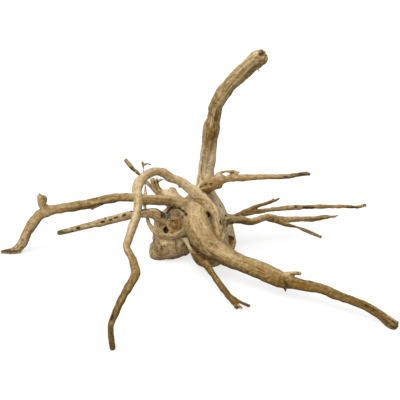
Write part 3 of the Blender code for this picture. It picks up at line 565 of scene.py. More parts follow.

# %% [markdown]
# ## Marks on the wood
# Worm holes, pits, cracks, knots and folds are what tells this root from any other. Each is a path of
# pixels of the photograph. A ray from the camera finds the path on the skin, and the skin is then pressed
# in along it, or raised where the depth is negative. The same path later carries its stain, and some carry
# painted shade where a gap or hollow lies in shadow. Cutting each one with a Boolean would be slow, and
# would leave the edges too crisp for weathered wood.

# %% Table of marks
# (depth, half width) in millimetres, (dark, rust, grey) stain or painted shade, path of pixels
MARKS = [
    # the eye between the thick limb and the strand of the arch, with the curled lip round its top; the black
    # in its hole is partly painted shade
    (3.0, 3.0, (1.6, 0.3, 0), [(207.6, 213.5), (208.6, 216.5)]),
    (0.0, 4.6, (1.6, 0.3, 0), [(208, 214), (208.8, 216)]),
    # painted shade: a groove with rust laid along the strand's edge below the eye
    (1.2, 3.4, (0.15, 1.2, 0), [(210, 219), (212.5, 225), (214.5, 231), (217, 236)]),
    (-0.7, 1.8, (0, 0, 0), [(203.3, 214), (203, 209.5), (205.5, 206), (209.5, 206), (212, 209)]),
    (0.3, 1.8, (0.05, 0.4, 0), [(200.5, 211), (201.5, 206), (205.5, 203), (211, 203.5), (214.5, 208)]),
    (0.2, 1.5, (0.03, 0.35, 0), [(199.5, 205), (203.5, 201), (209, 201)]),
    # the fold where the arch wraps over the thick limb
    (0.5, 1.8, (0.05, 0.5, 0), [(190.5, 201), (194, 199.2), (199, 199.2), (204, 201)]),
    (-0.5, 2.2, (0, 0, 0), [(194, 197.3), (199, 197.3), (205, 199.2), (210, 202.5)]),
    # dark flecks on the thick limb
    (0.6, 1.8, (0.7, 0.6, 0), [(210.5, 242.5), (213, 245.5)]),
    (0.3, 1.4, (0.25, 0.2, 0), [(207, 240), (208.5, 241)]),
    # pits, a groove and a rotten hole in the stump's right side
    (2.2, 3.0, (1.2, 0.6, 0), [(220.6, 221), (221.3, 224)]),
    (-0.8, 1.6, (0, 0, 0), [(219, 225.5), (218.3, 221.5), (220, 218.5), (223, 218.2), (224.5, 221)]),
    (1.8, 2.2, (1.4, 0.3, 0), [(226, 215.7)]),
    (0.9, 1.5, (0.8, 0.3, 0), [(220, 205.5), (221.5, 207)]),
    (1.2, 2.2, (0.6, 0.2, 0.5), [(229, 220.5), (227.5, 225), (226, 231), (225.5, 235)]),
    (0.8, 3.4, (0.1, 0.8, 0), [(223, 226), (222.5, 230), (222, 235)]),
    (1.5, 6.0, (0.2, 1.5, 0), [(230, 238.5), (230.5, 242)]),
    (1.5, 2.2, (1.4, 0.5, 0), [(229, 237), (231.5, 236.5), (233, 239)]),
    (-1.5, 1.4, (0, 0, 0), [(230, 239), (232, 241.5)]),
    (0.6, 2.0, (0.1, 0.3, 0), [(218, 208), (220, 214), (219.5, 219)]),
    (-1.2, 3.0, (0, 0, 0), [(226, 222), (225, 230), (223, 238)]),
    # the gap under the thick limb, darkened with painted shade, and the keel below it
    (0.3, 4.4, (0.6, 0.7, 0), [(191, 244), (198, 253), (204, 259)]),
    (0.4, 5.0, (0.1, 0.8, 0), [(206, 259), (212, 263)]),
    # the block on the left: a knot with a pit beside it, and a long crack
    (-2.2, 4.0, (0, 0, 0), [(163.5, 244.6)]),
    (2.0, 2.8, (0.9, 0.4, 0), [(161.3, 247.8), (162, 249.5)]),
    (0.9, 2.0, (0.25, 0.7, 0), [(176.5, 241), (177, 246), (177.6, 250), (176.5, 256)]),
    # painted shadow: a dark notch under the ledge's end, above the front stub
    (2.0, 2.0, (0.9, 0, 0.2), [(181.5, 237), (186, 236.6)]),
    (0.8, 2.4, (0.6, 0.2, 0), [(154, 235.5), (154, 238.5)]),
    (1.4, 5.5, (0, 0.1, 0), [(157, 242), (156.5, 250)]),
    (1.3, 5.0, (0, 0.1, 0), [(169.5, 246), (168.5, 255)]),
    # the hollow above the ledge, darkened with painted shade, with strands of wood across it
    (0.4, 5.2, (2.0, 0.2, 0), [(164.6, 230), (166, 231.6)]),
    (-1.3, 1.8, (0, 0.4, 0), [(156.5, 219), (162, 222.5), (168, 227), (170.5, 231.5)]),
    (0.8, 1.4, (0.3, 0.5, 0), [(163, 219), (168.5, 223.5), (173, 229), (173.5, 232)]),
    (0.7, 1.5, (0.2, 0.5, 0), [(178, 221), (178.5, 225), (176.5, 229.5)]),
    (0.0, 9.0, (0.0, 0.7, 0), [(160, 225), (168, 228), (177, 226)]),
    (1.0, 1.8, (0.2, 0.4, 0), [(157, 230), (162, 233), (168, 235), (175, 234), (182, 229.5)]),
    (-0.5, 1.8, (0, 0, 0), [(158, 232.5), (163, 235.3), (169, 237), (176, 236), (183, 231.5)]),
    (0.8, 1.4, (0.8, 0.3, 0), [(157.3, 231)]),
    (0.6, 1.2, (0.6, 0.3, 0), [(155, 228)]),
    # the cavern under the long left limb: painted shadow along its rim, painted shade in its grey hollow, and
    # a rounded dome
    (
        2.2, 2.7, (1.3, 0, 0.4),
        [(169, 210.8), (171.5, 209.2), (175, 208), (180, 208.6), (184, 211.4), (186.2, 214.5)],
    ),
    (1.0, 5.2, (0.5, 0, 1.0), [(163, 214.5), (166, 216.5), (169.5, 215)]),
    (0.0, 8.0, (0.1, 0.3, 0.4), [(175, 213.5), (181, 216)]),
    (1.8, 1.8, (0.9, 0.2, 0.2), [(166, 220), (170, 222), (174, 221)]),
    # the dark worn top of the short left limb, and its slits
    (0.4, 2.8, (0.45, 0, 0.9), [(143, 209.6), (149, 208.5), (155, 208.2), (160, 211.5), (163, 213.5)]),
    (1.4, 1.3, (1.0, 0, 0.3), [(142, 210.6), (149, 210.4)]),
    (1.0, 1.1, (0.8, 0, 0.3), [(142, 214.6), (147, 214)]),
    # worm holes along the short left limb
    (1.6, 1.9, (2.2, 0.4, 0), [(131.4, 210.9), (133, 210.5)]),
    (1.6, 2.0, (2.2, 0.4, 0), [(123.4, 215.4), (125, 215)]),
    (1.6, 1.9, (2.2, 0.4, 0), [(115, 218), (116.5, 217.5)]),
    (1.5, 1.8, (2.2, 0.4, 0), [(110, 220), (111.2, 219.6)]),
    (1.4, 1.6, (1.8, 0.1, 0), [(105.5, 218.8)]),
    (1.6, 1.9, (2.2, 0.4, 0), [(102, 222.2), (103.6, 221.7)]),
    (1.4, 1.9, (1.8, 0.8, 0), [(77.5, 228.2), (79.2, 227.8)]),
    (0.6, 1.0, (0.5, 0.1, 0), [(88, 225), (96, 223.6)]),
    # the splits between the torn stump's blades, and its dark cap
    (1.2, 1.5, (0.7, 0.5, 0), [(154, 180), (155.5, 185), (157.5, 190)]),
    (1.2, 1.5, (0.7, 0.5, 0), [(157.5, 181), (158.5, 185), (161, 190)]),
    (0.4, 1.8, (0.5, 0.4, 0), [(168.5, 188), (173.5, 187.8)]),
    # the chunk at the top right: a broken face, a ring of a knot, and a dark tip
    (2.4, 2.4, (1.4, 0.6, 0), [(204, 185.4), (206, 185)]),
    (2.0, 2.1, (1.3, 0.5, 0), [(210.3, 184.6), (212, 184.2)]),
    (1.1, 1.6, (1.1, 0.5, 0), [(199.5, 187.2), (203, 186.4)]),
    (0.8, 1.0, (0.7, 0.4, 0), [(206.5, 187)]),
    (-0.8, 1.4, (0, 0, 0), [(200.5, 188.8), (207, 188.6), (213, 186.6), (215, 183)]),
    # painted shade: a rusty dark band under the chunk, above the arch's strand
    (0.5, 3.2, (0.15, 1.1, 0), [(203, 191.5), (207, 193.5), (212, 190.5)]),
    (0.4, 3.5, (0, 0.8, 0), [(214, 181), (221, 183)]),
    (0.4, 1.8, (0.1, 0.6, 0), [(222, 177), (230, 178)]),
    (1.4, 1.5, (0.5, 0.4, 0), [(232, 173.5), (234, 173.3)]),
    (-0.5, 1.0, (0, 0, 0), [(230.3, 173.5), (231.5, 171.6), (234.5, 171.4), (236, 173.6), (234, 175.4)]),
    (0.3, 3.0, (0.5, 0.1, 0.5), [(301, 173), (308, 172.2)]),
    (0.3, 1.2, (0.4, 0.3, 0), [(285, 174), (296, 173.8)]),
    # scars, rings and the shoulders of the upright limb
    (0.2, 2.4, (0, 0.6, 0), [(202.5, 180), (202, 166), (203.5, 150)]),
    (0.2, 2.0, (0, 0.45, 0), [(208, 162), (209, 145)]),
    (0.8, 1.2, (0.5, 0.2, 0), [(212, 103.6), (216.5, 103.6)]),
    (0.5, 1.0, (0.3, 0.2, 0), [(213, 108), (217.5, 108.3)]),
    (0.4, 1.0, (0.15, 0.2, 0), [(206, 165.5), (213, 165.7)]),
    (0.4, 1.0, (0.3, 0.2, 0), [(208, 169.5), (213, 169.8)]),
    (0.4, 1.0, (0.15, 0.2, 0), [(206, 173.8), (213, 174)]),
    (0.8, 1.8, (0.2, 0.6, 0), [(202, 176), (201.5, 171), (202, 166)]),
    (1.0, 1.8, (0.3, 0.4, 0), [(207, 118), (206, 124), (206.5, 131)]),
    (0.8, 1.6, (0.2, 0.4, 0), [(217, 118), (217.5, 125), (216.5, 132)]),
    (0.2, 3.0, (0.2, 0.6, 0), [(208, 124), (210, 132), (209, 140)]),
    (0.6, 1.6, (0.3, 0.5, 0), [(203, 156), (204, 148), (206, 139)]),
    (0.6, 1.4, (0.2, 0.5, 0), [(226, 92), (233, 82), (243, 71)]),
    (0.6, 1.4, (0.2, 0.5, 0), [(222, 86), (229, 77), (238, 68)]),
    # the upright limb's broken end
    (5.0, 3.6, (0.7, 1.0, 0), [(260.8, 54.2), (264.2, 54.6)]),
    (1.2, 1.6, (0.7, 0.3, 0), [(258.5, 51.2), (262.5, 51.4)]),
    (2.0, 1.7, (1.2, 0.1, 0), [(266.6, 56)]),
    (1.0, 2.4, (0.25, 0.8, 0), [(255, 58.3), (257, 58)]),
    (1.0, 2.0, (0.35, 0.6, 0), [(259, 61.5), (263, 61), (265.5, 59.5)]),
    (-1.0, 1.6, (0, 0, 0), [(258, 54), (259.5, 56.6), (263, 57.3), (265.5, 56.8)]),
    # the knot where spurs leave the thick limb, and its split end
    (0.8, 4.4, (0.8, 1.3, 0), [(285, 283), (287.5, 287)]),
    (0.6, 2.0, (0.3, 0.6, 0), [(287, 284.5), (292, 284)]),
    (0.8, 1.4, (0.7, 0.4, 0), [(291, 275.5), (294, 276)]),
    (0.8, 1.2, (0.6, 0.3, 0), [(296.5, 272), (299, 273)]),
    (0.4, 1.6, (0.15, 0.4, 0), [(281, 274.5), (285, 279), (291, 281)]),
    (2.4, 2.0, (1.3, 0.9, 0), [(365.5, 305.5), (375, 311.7), (381.6, 317.4), (389.7, 325), (394, 328)]),
    (1.6, 1.5, (1.0, 0.8, 0), [(376, 309.5), (384.3, 315), (391, 320.3), (396, 323.4)]),
    (0.8, 1.2, (0.5, 0.7, 0), [(352, 299.5), (360, 302.5), (368, 307)]),
    (0.0, 5.0, (0, 0.5, 0), [(366, 309), (380, 317), (392, 326)]),
    (0.8, 1.3, (0.3, 0.4, 0), [(345, 296), (356, 302), (366, 308)]),
    # painted shadow: the dark line along the rim over the dome
    (
        0.5, 1.7, (1.3, 0.3, 0.2),
        [(167, 213), (170.5, 210), (175, 208.3), (180, 209.3), (184, 212), (186, 215)],
    ),
    # the rim of the ledge, painted shade in the hollow behind it, and the crack in the block below it
    (1.6, 1.3, (0.5, 0.5, 0), [(159, 230), (163, 232), (167.5, 233)]),
    (1.0, 1.2, (0.1, 0.7, 0), [(167.5, 233), (173, 233), (178, 231), (182, 227.5)]),
    (-1.2, 1.6, (0, 0, 0), [(157, 232.5), (162, 235), (168, 236.4), (174, 236), (179, 233.6), (183, 230)]),
    (0.8, 1.2, (0.4, 0.9, 0), [(176, 242), (175.5, 246), (176.5, 250), (177.5, 254)]),
    (0.5, 1.5, (0.1, 0.8, 0), [(158, 237), (162, 238.5), (166, 239.5)]),
    # the dark, split end of the thin rod
    (0.5, 1.3, (1.0, 0.2, 0), [(284, 176.8), (290, 177.4)]),
    (0.4, 1.0, (0.9, 0.2, 0.3), [(289, 175), (296, 174.6), (303, 172.8)]),
    (0.4, 1.0, (0.8, 0.2, 0.2), [(293, 177), (299, 175.6), (306, 174)]),
    # reddish patches on the thick limb
    (0.0, 7.0, (0, 0.35, 0), [(246, 262), (262, 268), (276, 275)]),
    (0.0, 6.0, (0.05, 0.5, 0), [(298, 286), (310, 289), (320, 292)]),
    (0.0, 5.0, (0.05, 0.4, 0), [(335, 298), (350, 305), (362, 311)]),
    (0.0, 4.0, (0, 0.4, 0), [(207, 233), (212, 241), (218, 247)]),
    # dark patches on the straight stick behind the arch
    (0.2, 2.6, (0.8, 0.2, 0), [(131, 168), (134, 171)]),
    (0.2, 2.4, (0.9, 0.2, 0), [(137, 173.5), (139, 175.5)]),
    (0.0, 2.0, (0.3, 0.3, 0), [(124, 160), (130, 168)]),
    # knots and scars of the arch
    (-0.8, 5.0, (0.1, 0.6, 0), [(137.5, 275.5)]),
    (0.2, 4.5, (0.25, 0.5, 0), [(134, 275)]),
    (0.6, 1.2, (0.6, 0.2, 0), [(137.3, 194), (137.6, 196.5)]),
    (0.6, 2.0, (0.3, 0.5, 0), [(126.3, 288), (125, 291)]),
    (0.9, 2.2, (1.3, 0.3, 0), [(112.6, 315.5), (111.8, 319)]),
    (0.8, 1.2, (0.4, 0.3, 0), [(111.3, 327), (112, 332), (113, 338)]),
    (-0.6, 1.2, (0, 0, 0), [(115, 321.5), (112, 325.5)]),
    # the long left limb's knob, marks and foot
    (1.2, 1.6, (0.7, 0.5, 0), [(42, 197)]),
    (1.0, 1.4, (0.6, 0.5, 0), [(44.5, 199.5)]),
    (0.4, 1.6, (0.2, 0.7, 0), [(25.5, 231), (27, 230)]),
    (0.6, 1.5, (0.5, 0.5, 0), [(17.5, 247.5), (19, 246)]),
    (1.2, 1.5, (0.4, 0.4, 0), [(11, 249.5), (17, 248.7), (21, 244), (23, 239)]),
    (0.3, 3.0, (0.8, 0.4, 0), [(3, 251), (9, 251), (13, 251.6)]),
    (0.4, 2.6, (0.7, 0.4, 0), [(15, 251.5), (19.5, 251)]),
    (0.6, 1.6, (0.7, 0.3, 0), [(7, 248.8), (13, 247.2), (17, 244.5)]),
    (0.4, 1.2, (0.2, 0.3, 0), [(93, 206), (96, 205)]),
    # dark nodes of the thin right limbs
    (-0.6, 3.0, (1.0, 0.1, 0.5), [(295.5, 206.5)]),
    (0.2, 2.0, (0.9, 0.3, 0.1), [(303, 207.6), (313, 207.6)]),
    (0.2, 2.0, (1.0, 0.3, 0), [(348, 207.4), (357, 207.6)]),
    (0.2, 2.6, (0.4, 0.8, 0), [(236, 215.5), (241, 213.5)]),
    (0.6, 1.8, (1.2, 0.3, 0), [(233.5, 214.6), (238, 215.4), (243, 215.2)]),
    (0.0, 2.4, (0.1, 0.7, 0), [(243, 212.5), (250, 211.5), (257, 210.5)]),
    (0.2, 2.0, (0.6, 0.4, 0.2), [(270, 202.5), (276, 200)]),
]
print(len(MARKS), "marks")

# %% Find the marks on the skin
def mesh_arrays(shape):
    """The places and the normals of a mesh's vertices."""
    places = np.empty(3 * len(shape.data.vertices), np.float32)
    shape.data.vertices.foreach_get("co", places)
    normals = np.empty_like(places)
    shape.data.vertex_normals.foreach_get("vector", normals)
    return places.reshape(-1, 3), normals.reshape(-1, 3)


skin = BVHTree.FromObject(wood, bpy.context.evaluated_depsgraph_get())
paths = []
for depth, width, stain_and_shade, pixels in MARKS:
    hits = [skin.ray_cast(camera.location, photo_ray(u, v)) for u, v in pixels]
    hits = [(place, normal) for place, normal, face, distance in hits if place is not None]
    if len(hits) < len(pixels):
        print("off the wood:", pixels)
    if hits:
        points = np.array([place[:] for place, normal in hits])
        facing = sum((normal for place, normal in hits), Vector()).normalized()
        paths.append((depth * MM, width * MM, stain_and_shade, points, np.array(facing)))
print(len(paths), "paths on the skin")

# %% [markdown]
# ## Marks that the photograph doesn't show
# The far side has been in the same weather, so it has the same kinds of mark: pits, drying cracks along
# the grain, knots, and a few rotten hollows low on the stump. They are scattered over the skin that faces
# away from the camera, with a seeded draw, so that they fall alike each time.

# %% Scatter marks over the far side
PITS, SPLITS, KNOTS, ROTTEN = 70, 46, 14, 7
FINE_PITS = 90  # small ones all round
FAR_SIDE = -0.1  # the skin's normal along the view is below this
CLEAR_OF_FLOOR = 4 * MM
STUMP_REACH, STUMP_HEIGHT = 70 * MM, 60 * MM  # rotten hollows stay on the stump, below this height
SCATTER_SEED = 11

draw = random.Random(SCATTER_SEED)
places, normals = mesh_arrays(wood)
far = np.nonzero((normals @ np.array(to_camera) < FAR_SIDE) & (places[:, 2] > CLEAR_OF_FLOOR))[0]
low_far = far[(np.linalg.norm(places[far, :2], axis=1) < STUMP_REACH) & (places[far, 2] < STUMP_HEIGHT)]


def add_path(depth, width, stain_and_shade, vertex, points):
    paths.append((depth * MM, width * MM, stain_and_shade, np.array(points), normals[vertex]))


for vertex in draw.sample(far.tolist(), PITS):
    width = draw.uniform(1.2, 2.6)
    add_path(width * draw.uniform(0.5, 0.9), width, (draw.uniform(0.3, 1), 0.3, 0), vertex, [places[vertex]])
for vertex in draw.sample(range(len(places)), FINE_PITS):
    width = draw.uniform(0.9, 1.5)
    add_path(width * 0.45, width, (draw.uniform(0.15, 0.5), 0.2, 0), vertex, [places[vertex]])
for vertex in draw.sample(far.tolist(), SPLITS):
    nearest = np.linalg.norm(ring_place - places[vertex], axis=1).argmin()
    reach = draw.uniform(5, 16) * MM * ring_z[nearest]
    ends = [skin.find_nearest(Vector(places[vertex] + share * reach))[0][:] for share in (-1, -0.4, 0.3, 1)]
    add_path(draw.uniform(0.5, 1.1), draw.uniform(1, 1.6), (draw.uniform(0.2, 0.8), 0.3, 0), vertex, ends)
for vertex in draw.sample(far.tolist(), KNOTS):
    add_path(-draw.uniform(0.6, 1.2), draw.uniform(3, 5), (0, 0.4, 0), vertex, [places[vertex]])
    add_path(1.2, draw.uniform(1.2, 1.8), (0.7, 0.5, 0), vertex, [places[vertex]])
for vertex in draw.sample(low_far.tolist(), ROTTEN):
    add_path(draw.uniform(2, 4), draw.uniform(4, 6.5), (0.5, 0.9, 0.2), vertex, [places[vertex]])
print(len(paths), "paths with those of the far side")

# %% [markdown]
# ## Room for fine marks
# The faces of the fused skin are almost a millimetre across, as wide as a small worm hole. Near the marks
# they are divided in four, so that a pit has a round rim.

# %% Divide the skin near the marks
def near_path(places, path, reach):
    """The vertices within reach of a path, and how far each is from it."""
    low, high = path.min(0) - reach, path.max(0) + reach
    near = np.nonzero(((places > low) & (places < high)).all(1))[0]
    spots = places[near]
    distance = np.linalg.norm(spots - path[0], axis=1)
    for a, b in zip(path, path[1:]):
        along = np.clip((spots - a) @ (b - a) / max((b - a) @ (b - a), 1e-12), 0, 1)
        distance = np.minimum(distance, np.linalg.norm(spots - a - along[:, None] * (b - a), axis=1))
    close = distance < reach
    return near[close], distance[close]


FINE_WIDTH = 3 * MM  # marks narrower than this need smaller faces
FINE_REACH = 1.2  # as a share of the mark's width

places, normals = mesh_arrays(wood)
fine = np.zeros(len(places), bool)
for depth, width, stain_and_shade, path, facing in paths:
    if width < FINE_WIDTH:
        near, distance = near_path(places, path, width * FINE_REACH)
        fine[near[normals[near] @ facing > 0]] = True
bm = bmesh.new()
bm.from_mesh(wood.data)
edges = [edge for edge in bm.edges if fine[edge.verts[0].index] and fine[edge.verts[1].index]]
bmesh.ops.subdivide_edges(bm, edges=edges, cuts=1, use_grid_fill=True)
bm.to_mesh(wood.data)
bm.free()
print(len(edges), "edges divided")

# %% [markdown]
# ## Relief
# Weathered wood has ridges of hard fibre with soft furrows between them, and fine cracks from drying. The
# furrows are noise on the grain. The cracks are thin lines where another such noise crosses zero. Where
# there is no clear grain, an even noise takes over. All of it moves the vertices along their normals.

# %% Raise the relief
FURROWS = ((0.45, 190, 12), (0.24, 460, 30))  # (height in mm, waves per metre across, along)
CRACKS = (0.45, 140, 8, 0.04)  # (depth in mm, waves per metre across, along, half width in noise)
EVEN = ((0.4, 110), (0.2, 300))  # (height in mm, waves per metre)
CRACK_SHIFT = 7.3  # keeps the cracks out of step with the furrows
THIN_LIMB = 7 * MM  # the relief is full on limbs at least this thick
# How rugged the smoother limbs are; every other limb is 1
RUGGEDNESS = {
    "bulge": 0.22, "arch": 0.3, "left_long": 0.5, "left_short": 0.6, "rootlet": 0.3, "chunk": 0.6,
    "torn": 0.6, "front": 0.6, "right_low": 0.5, "right_high": 0.7, "flare_right": 0.5, "flare_left": 0.5,
}


def read_noise(points):
    return np.array([noise.noise(point) for point in points.tolist()], np.float32)


own_radius = np.array([ring_radius[ring_limb == limb].mean() for limb in range(len(routes))])
own_ruggedness = np.array([RUGGEDNESS.get(name, 1) for name in routes])


def relief(places, grain, share, limbs):
    """How far the weather has raised or sunk each place, in millimetres."""
    height = np.zeros(len(places), np.float32)
    for rise, across, along in FURROWS:
        height += share * rise * read_noise(grain * (across, across, along))
    depth, across, along, half = CRACKS
    line = np.abs(read_noise(grain * (across, across, along) + CRACK_SHIFT))
    height -= share * depth * (1 - smoothstep(0, half, line))
    for rise, waves in EVEN:
        height += (1 - 0.7 * share) * rise * read_noise(places * waves)
    return height * np.clip(own_radius[limbs] / THIN_LIMB, 0.25, 1) * own_ruggedness[limbs]


places, normals = mesh_arrays(wood)
grain, limbs, off, gap = measure(places)
share = grain_share(off, gap)
print("share of the skin with a clear grain:", round(float(share.mean()), 2))
height = MM * relief(places, grain, share, limbs)

# %% Press in the marks
def closeness(places, normals, path, facing, width):
    """The vertices that a mark reaches, and how strongly: 1 on its path and 0 at its width."""
    near, distance = near_path(places, path, width)
    keep = normals[near] @ facing > 0
    t = 1 - distance[keep] / width
    return near[keep], t * t * (3 - 2 * t)


for depth, width, stain_and_shade, path, facing in paths:
    near, strength = closeness(places, normals, path, facing, width)
    height[near] -= depth * strength
places += normals * height[:, None]
wood.data.vertices.foreach_set("co", places.ravel())
wood.data.update()
print("relief from", round(float(height.min()) / MM, 1), "to", round(float(height.max()) / MM, 1), "mm")

# %% [markdown]
# ## Fewer faces
# The skin now has far more faces than a smooth flank of a limb needs. Decimate takes out those that
# change the shape least. The flat underside is then made true.

# %% Thin out the faces
TRIANGLES = 195000
ON_FLOOR = 1e-7

wood.data.calc_loop_triangles()
print(len(wood.data.loop_triangles), "triangles with all the relief")
thin = wood.modifiers.new("thin", "DECIMATE")
thin.ratio = TRIANGLES / len(wood.data.loop_triangles)
thin.use_collapse_triangulate = True
keep_evaluated(wood)

bm = bmesh.new()
bm.from_mesh(wood.data)
everything = bm.verts[:] + bm.edges[:] + bm.faces[:]
ground = {"plane_co": (0, 0, 0), "plane_no": (0, 0, -1), "clear_outer": True}
cut_edges = bmesh.ops.bisect_plane(bm, geom=everything, dist=ON_FLOOR, **ground)["geom_cut"]
rim = [item for item in cut_edges if isinstance(item, bmesh.types.BMEdge)]
bmesh.ops.edgenet_fill(bm, edges=rim)
bmesh.ops.triangulate(bm, faces=[face for face in bm.faces if len(face.verts) > 3])
bmesh.ops.recalc_face_normals(bm, faces=bm.faces)
open_edges = sum(1 for edge in bm.edges if len(edge.link_faces) != 2)
bm.to_mesh(wood.data)
bm.free()
wood.data.shade_smooth()
print(len(wood.data.polygons), "triangles,", open_edges, "open edges")

# %% [markdown]
# ## Where the colours go
# Old wood is stained by where it is: crests are rubbed pale, tips are darker, and each limb has its own
# tone. Shade is painted in too: hollows are darkened, and the upper side is painted paler than the
# underside, as the light falls. These facts are worked out on the finished mesh and kept on its vertices
# as attributes, which a material can read. Painting an image would need a flat unwrapping of a shape that
# has no good one.

# %% Tones of the limbs
# limb: (tones at shares of the way to its tip, rust, length of the dark tip in mm, darkness of the tip)
LOOKS = {
    # partly painted light: the upright limb's foot is painted paler where it gets little light
    "upright": (
        ((0, 2.8), (0.2, 4.2), (0.34, 2.2), (0.43, -0.8), (0.55, -0.5), (0.7, -0.1), (1, -0.4)), 0.2, 0, 0,
    ),
    # partly painted shade: the thick limb's tones grow darker towards its far half, which lies in shade
    "bulge": (((0, -0.7), (0.25, -1.3), (0.45, -1.4), (0.6, -2.2), (0.8, -2.5), (1, -1.6)), 0.05, 12, 0.1),
    "arch": (((0, 0), (0.33, 0.1), (0.62, -0.4), (0.75, -1.7), (0.85, -2.4), (1, -3.2)), 0.05, 40, 0.3),
    "left_long": (((0, -0.9), (0.35, -1.4), (0.5, -1.2), (0.75, -0.8), (1, -0.6)), 0.15, 14, 0.3),
    "left_knob": (((0, 1.4), (1, 1.0)), 0.5, 4, 0.2),
    "left_knob_burl": (((0, 1.0), (1, 0.6)), 0.6, 4, 0.2),
    "left_short": (((0, -0.2), (0.08, -0.2), (0.16, -0.6), (0.5, -0.3), (1, -0.8)), 0.2, 24, 0.5),
    "rootlet": (((0, 0), (1, -0.3)), 0.25, 0, 0),
    "back_stick": (((0, -0.6), (1, -0.8)), 0.2, 6, 0.5),
    "torn": (((0, 1.8), (1, 0.8)), 0.1, 0, 0),
    "torn_crown": (((0, 1.2), (1, 1.0)), 0.2, 3, 0.4),
    "chunk": (((0, -0.4), (0.25, -0.6), (0.4, -0.1), (1, -0.4)), 0.5, 22, 0.5),
    "chunk_nose": (((0, -0.2), (1, -0.2)), 0.5, 0, 0),
    "front": (((0, -1.2), (0.4, -2.4), (1, -3.0)), 0.1, 10, 0.3),
    "front_fork": (((0, -2.8), (1, -3.0)), 0.1, 10, 0.3),
    "front_stub": (((0, 0.6), (1, 1.0)), 0.0, 0, 0),
    "right_low": (((0, -1.2), (1, -1.6)), 0.0, 5, 0.3),
    "right_low_twig": (((0, -1.6), (1, -1.2)), 0.0, 5, 0.3),
    "right_high": (((0, -1.2), (0.3, -1.1), (1, -0.9)), 0.35, 10, 0.5),
    "right_high_twig": (((0, -1.2), (1, -1.1)), 0.4, 8, 0.7),
    "flare_right": (((0, 1.6), (0.5, 1.2), (1, 0.6)), 0.15, 0, 0),
}
PLAIN_LOOK = (((0, 0), (1, 0)), 0.1, 3, 0.3)
# painted light: the upper side is painted paler and the underside darker, as light from above falls
PAINTED_TOP_LIGHT = 1.2  # how much paler the upper side of the wood is than its underside

# Parts of the stump with a tone of their own, and one painted light: (centre and reach in mm, tone, rust)
STUMP_TONES_AND_PAINTED_LIGHT = (
    ((-48, -10, 20), 46, 1.6, 0.55),
    # painted light: lifts the part of the stump that lies in the thick limb's shadow
    ((-30, -18, 16), 24, 2.2, 0.5),
    ((24, -6, 44), 50, 1.5, 0.2),
    ((-36, -14, 58), 22, -0.8, 0.15),
    ((-52, -14, 46), 18, -0.2, 0.35),
    ((8, -24, 14), 34, 0.2, 0.35),
)
print(len(LOOKS), "limbs and", len(STUMP_TONES_AND_PAINTED_LIGHT), "parts of the stump have a tone of their own")

# %% Facts for the material
FORM_PASSES = 50  # how widely the form around each vertex is averaged
FORM_UNIT = 1.6 * MM  # the depth of a hollow is kept in this unit
SPREAD_PASSES = 14  # how softly one tone runs into the next
STAIN_REACH = 1.25  # how far a stain spreads, as a share of its mark's width


def smooth_values(values, edges, passes):
    """Spreads values over the skin: each becomes the mean of its neighbours', several times over."""
    a, b = edges[:, 0], edges[:, 1]
    number = len(values)
    count = np.bincount(a, minlength=number) + np.bincount(b, minlength=number)
    for _ in range(passes):
        sums = [np.bincount(a, row[b], number) + np.bincount(b, row[a], number) for row in values.T]
        values = np.stack(sums, axis=1) / np.maximum(count, 1)[:, None]
    return values


def keep_attribute(name, values):
    attribute = wood.data.attributes.new(name, "FLOAT_VECTOR", "POINT")
    attribute.data.foreach_set("vector", np.ascontiguousarray(values, np.float32).ravel())


places, normals = mesh_arrays(wood)
edges = np.empty(2 * len(wood.data.edges), np.int32)
wood.data.edges.foreach_get("vertices", edges)
edges = edges.reshape(-1, 2)

grain, limbs, off, gap = measure(places)
share = grain_share(off, gap)

small = relief(places, grain, share, limbs)
# how deep each vertex lies in a hollow; the material darkens the hollows with it as painted shade
wide_form = smooth_values(places, edges, FORM_PASSES)
large = ((wide_form - places) * normals).sum(1) / FORM_UNIT

along = np.clip(grain[:, 2] / limb_length[limbs], 0, 1)
to_tip = (limb_length[limbs] - grain[:, 2]) / MM
tone = np.zeros(len(places))
stains_and_shade = np.zeros((len(places), 3))
for limb, name in enumerate(routes):
    tones, limb_rust, tip_length, tip_dark = LOOKS.get(name, PLAIN_LOOK)
    own = limbs == limb
    tone[own] = np.interp(along[own], *zip(*tones))
    stains_and_shade[own, 0] = tip_dark * (1 - smoothstep(0.4, 1, to_tip[own] / max(tip_length, 0.01)))
    stains_and_shade[own, 1] = limb_rust
for centre, reach, own_tone, own_rust in STUMP_TONES_AND_PAINTED_LIGHT:
    distance = np.linalg.norm(places - np.array(centre) * MM, axis=1)
    inside = (1 - smoothstep(0.6 * reach * MM, reach * MM, distance)) * (1 - share)
    tone += own_tone * inside
    stains_and_shade[:, 1] = np.maximum(stains_and_shade[:, 1], own_rust * inside)
# painted light: paler where the skin faces up and darker where it faces down
tone += PAINTED_TOP_LIGHT * normals[:, 2]
spread = smooth_values(np.column_stack([tone, stains_and_shade]), edges, SPREAD_PASSES)
tone, stains_and_shade = spread[:, 0], spread[:, 1:]
for depth, width, stain_and_shade, path, facing in paths:
    near, strength = closeness(places, normals, path, facing, width * STAIN_REACH)
    stains_and_shade[near] += (np.array(stain_and_shade) - stains_and_shade[near]).clip(0) * strength[:, None]

keep_attribute("grain", grain)
keep_attribute("stains_and_shade", stains_and_shade)
keep_attribute("form", np.stack([small, large, tone], axis=1))
keep_attribute("clear", np.stack([share, own_ruggedness[limbs] * share + 1 - share, share], axis=1))
print("attributes:", [item.name for item in wood.data.attributes if item.data_type == "FLOAT_VECTOR"])

# %% [markdown]
# ## Streaks
# The wood's figure has the same streaks at three sizes: broad bands, narrow streaks and fine fibres. So
# the streak is built once, as a node group that is told how many waves fit in a metre across the grain
# and along it, and the material places it three times.

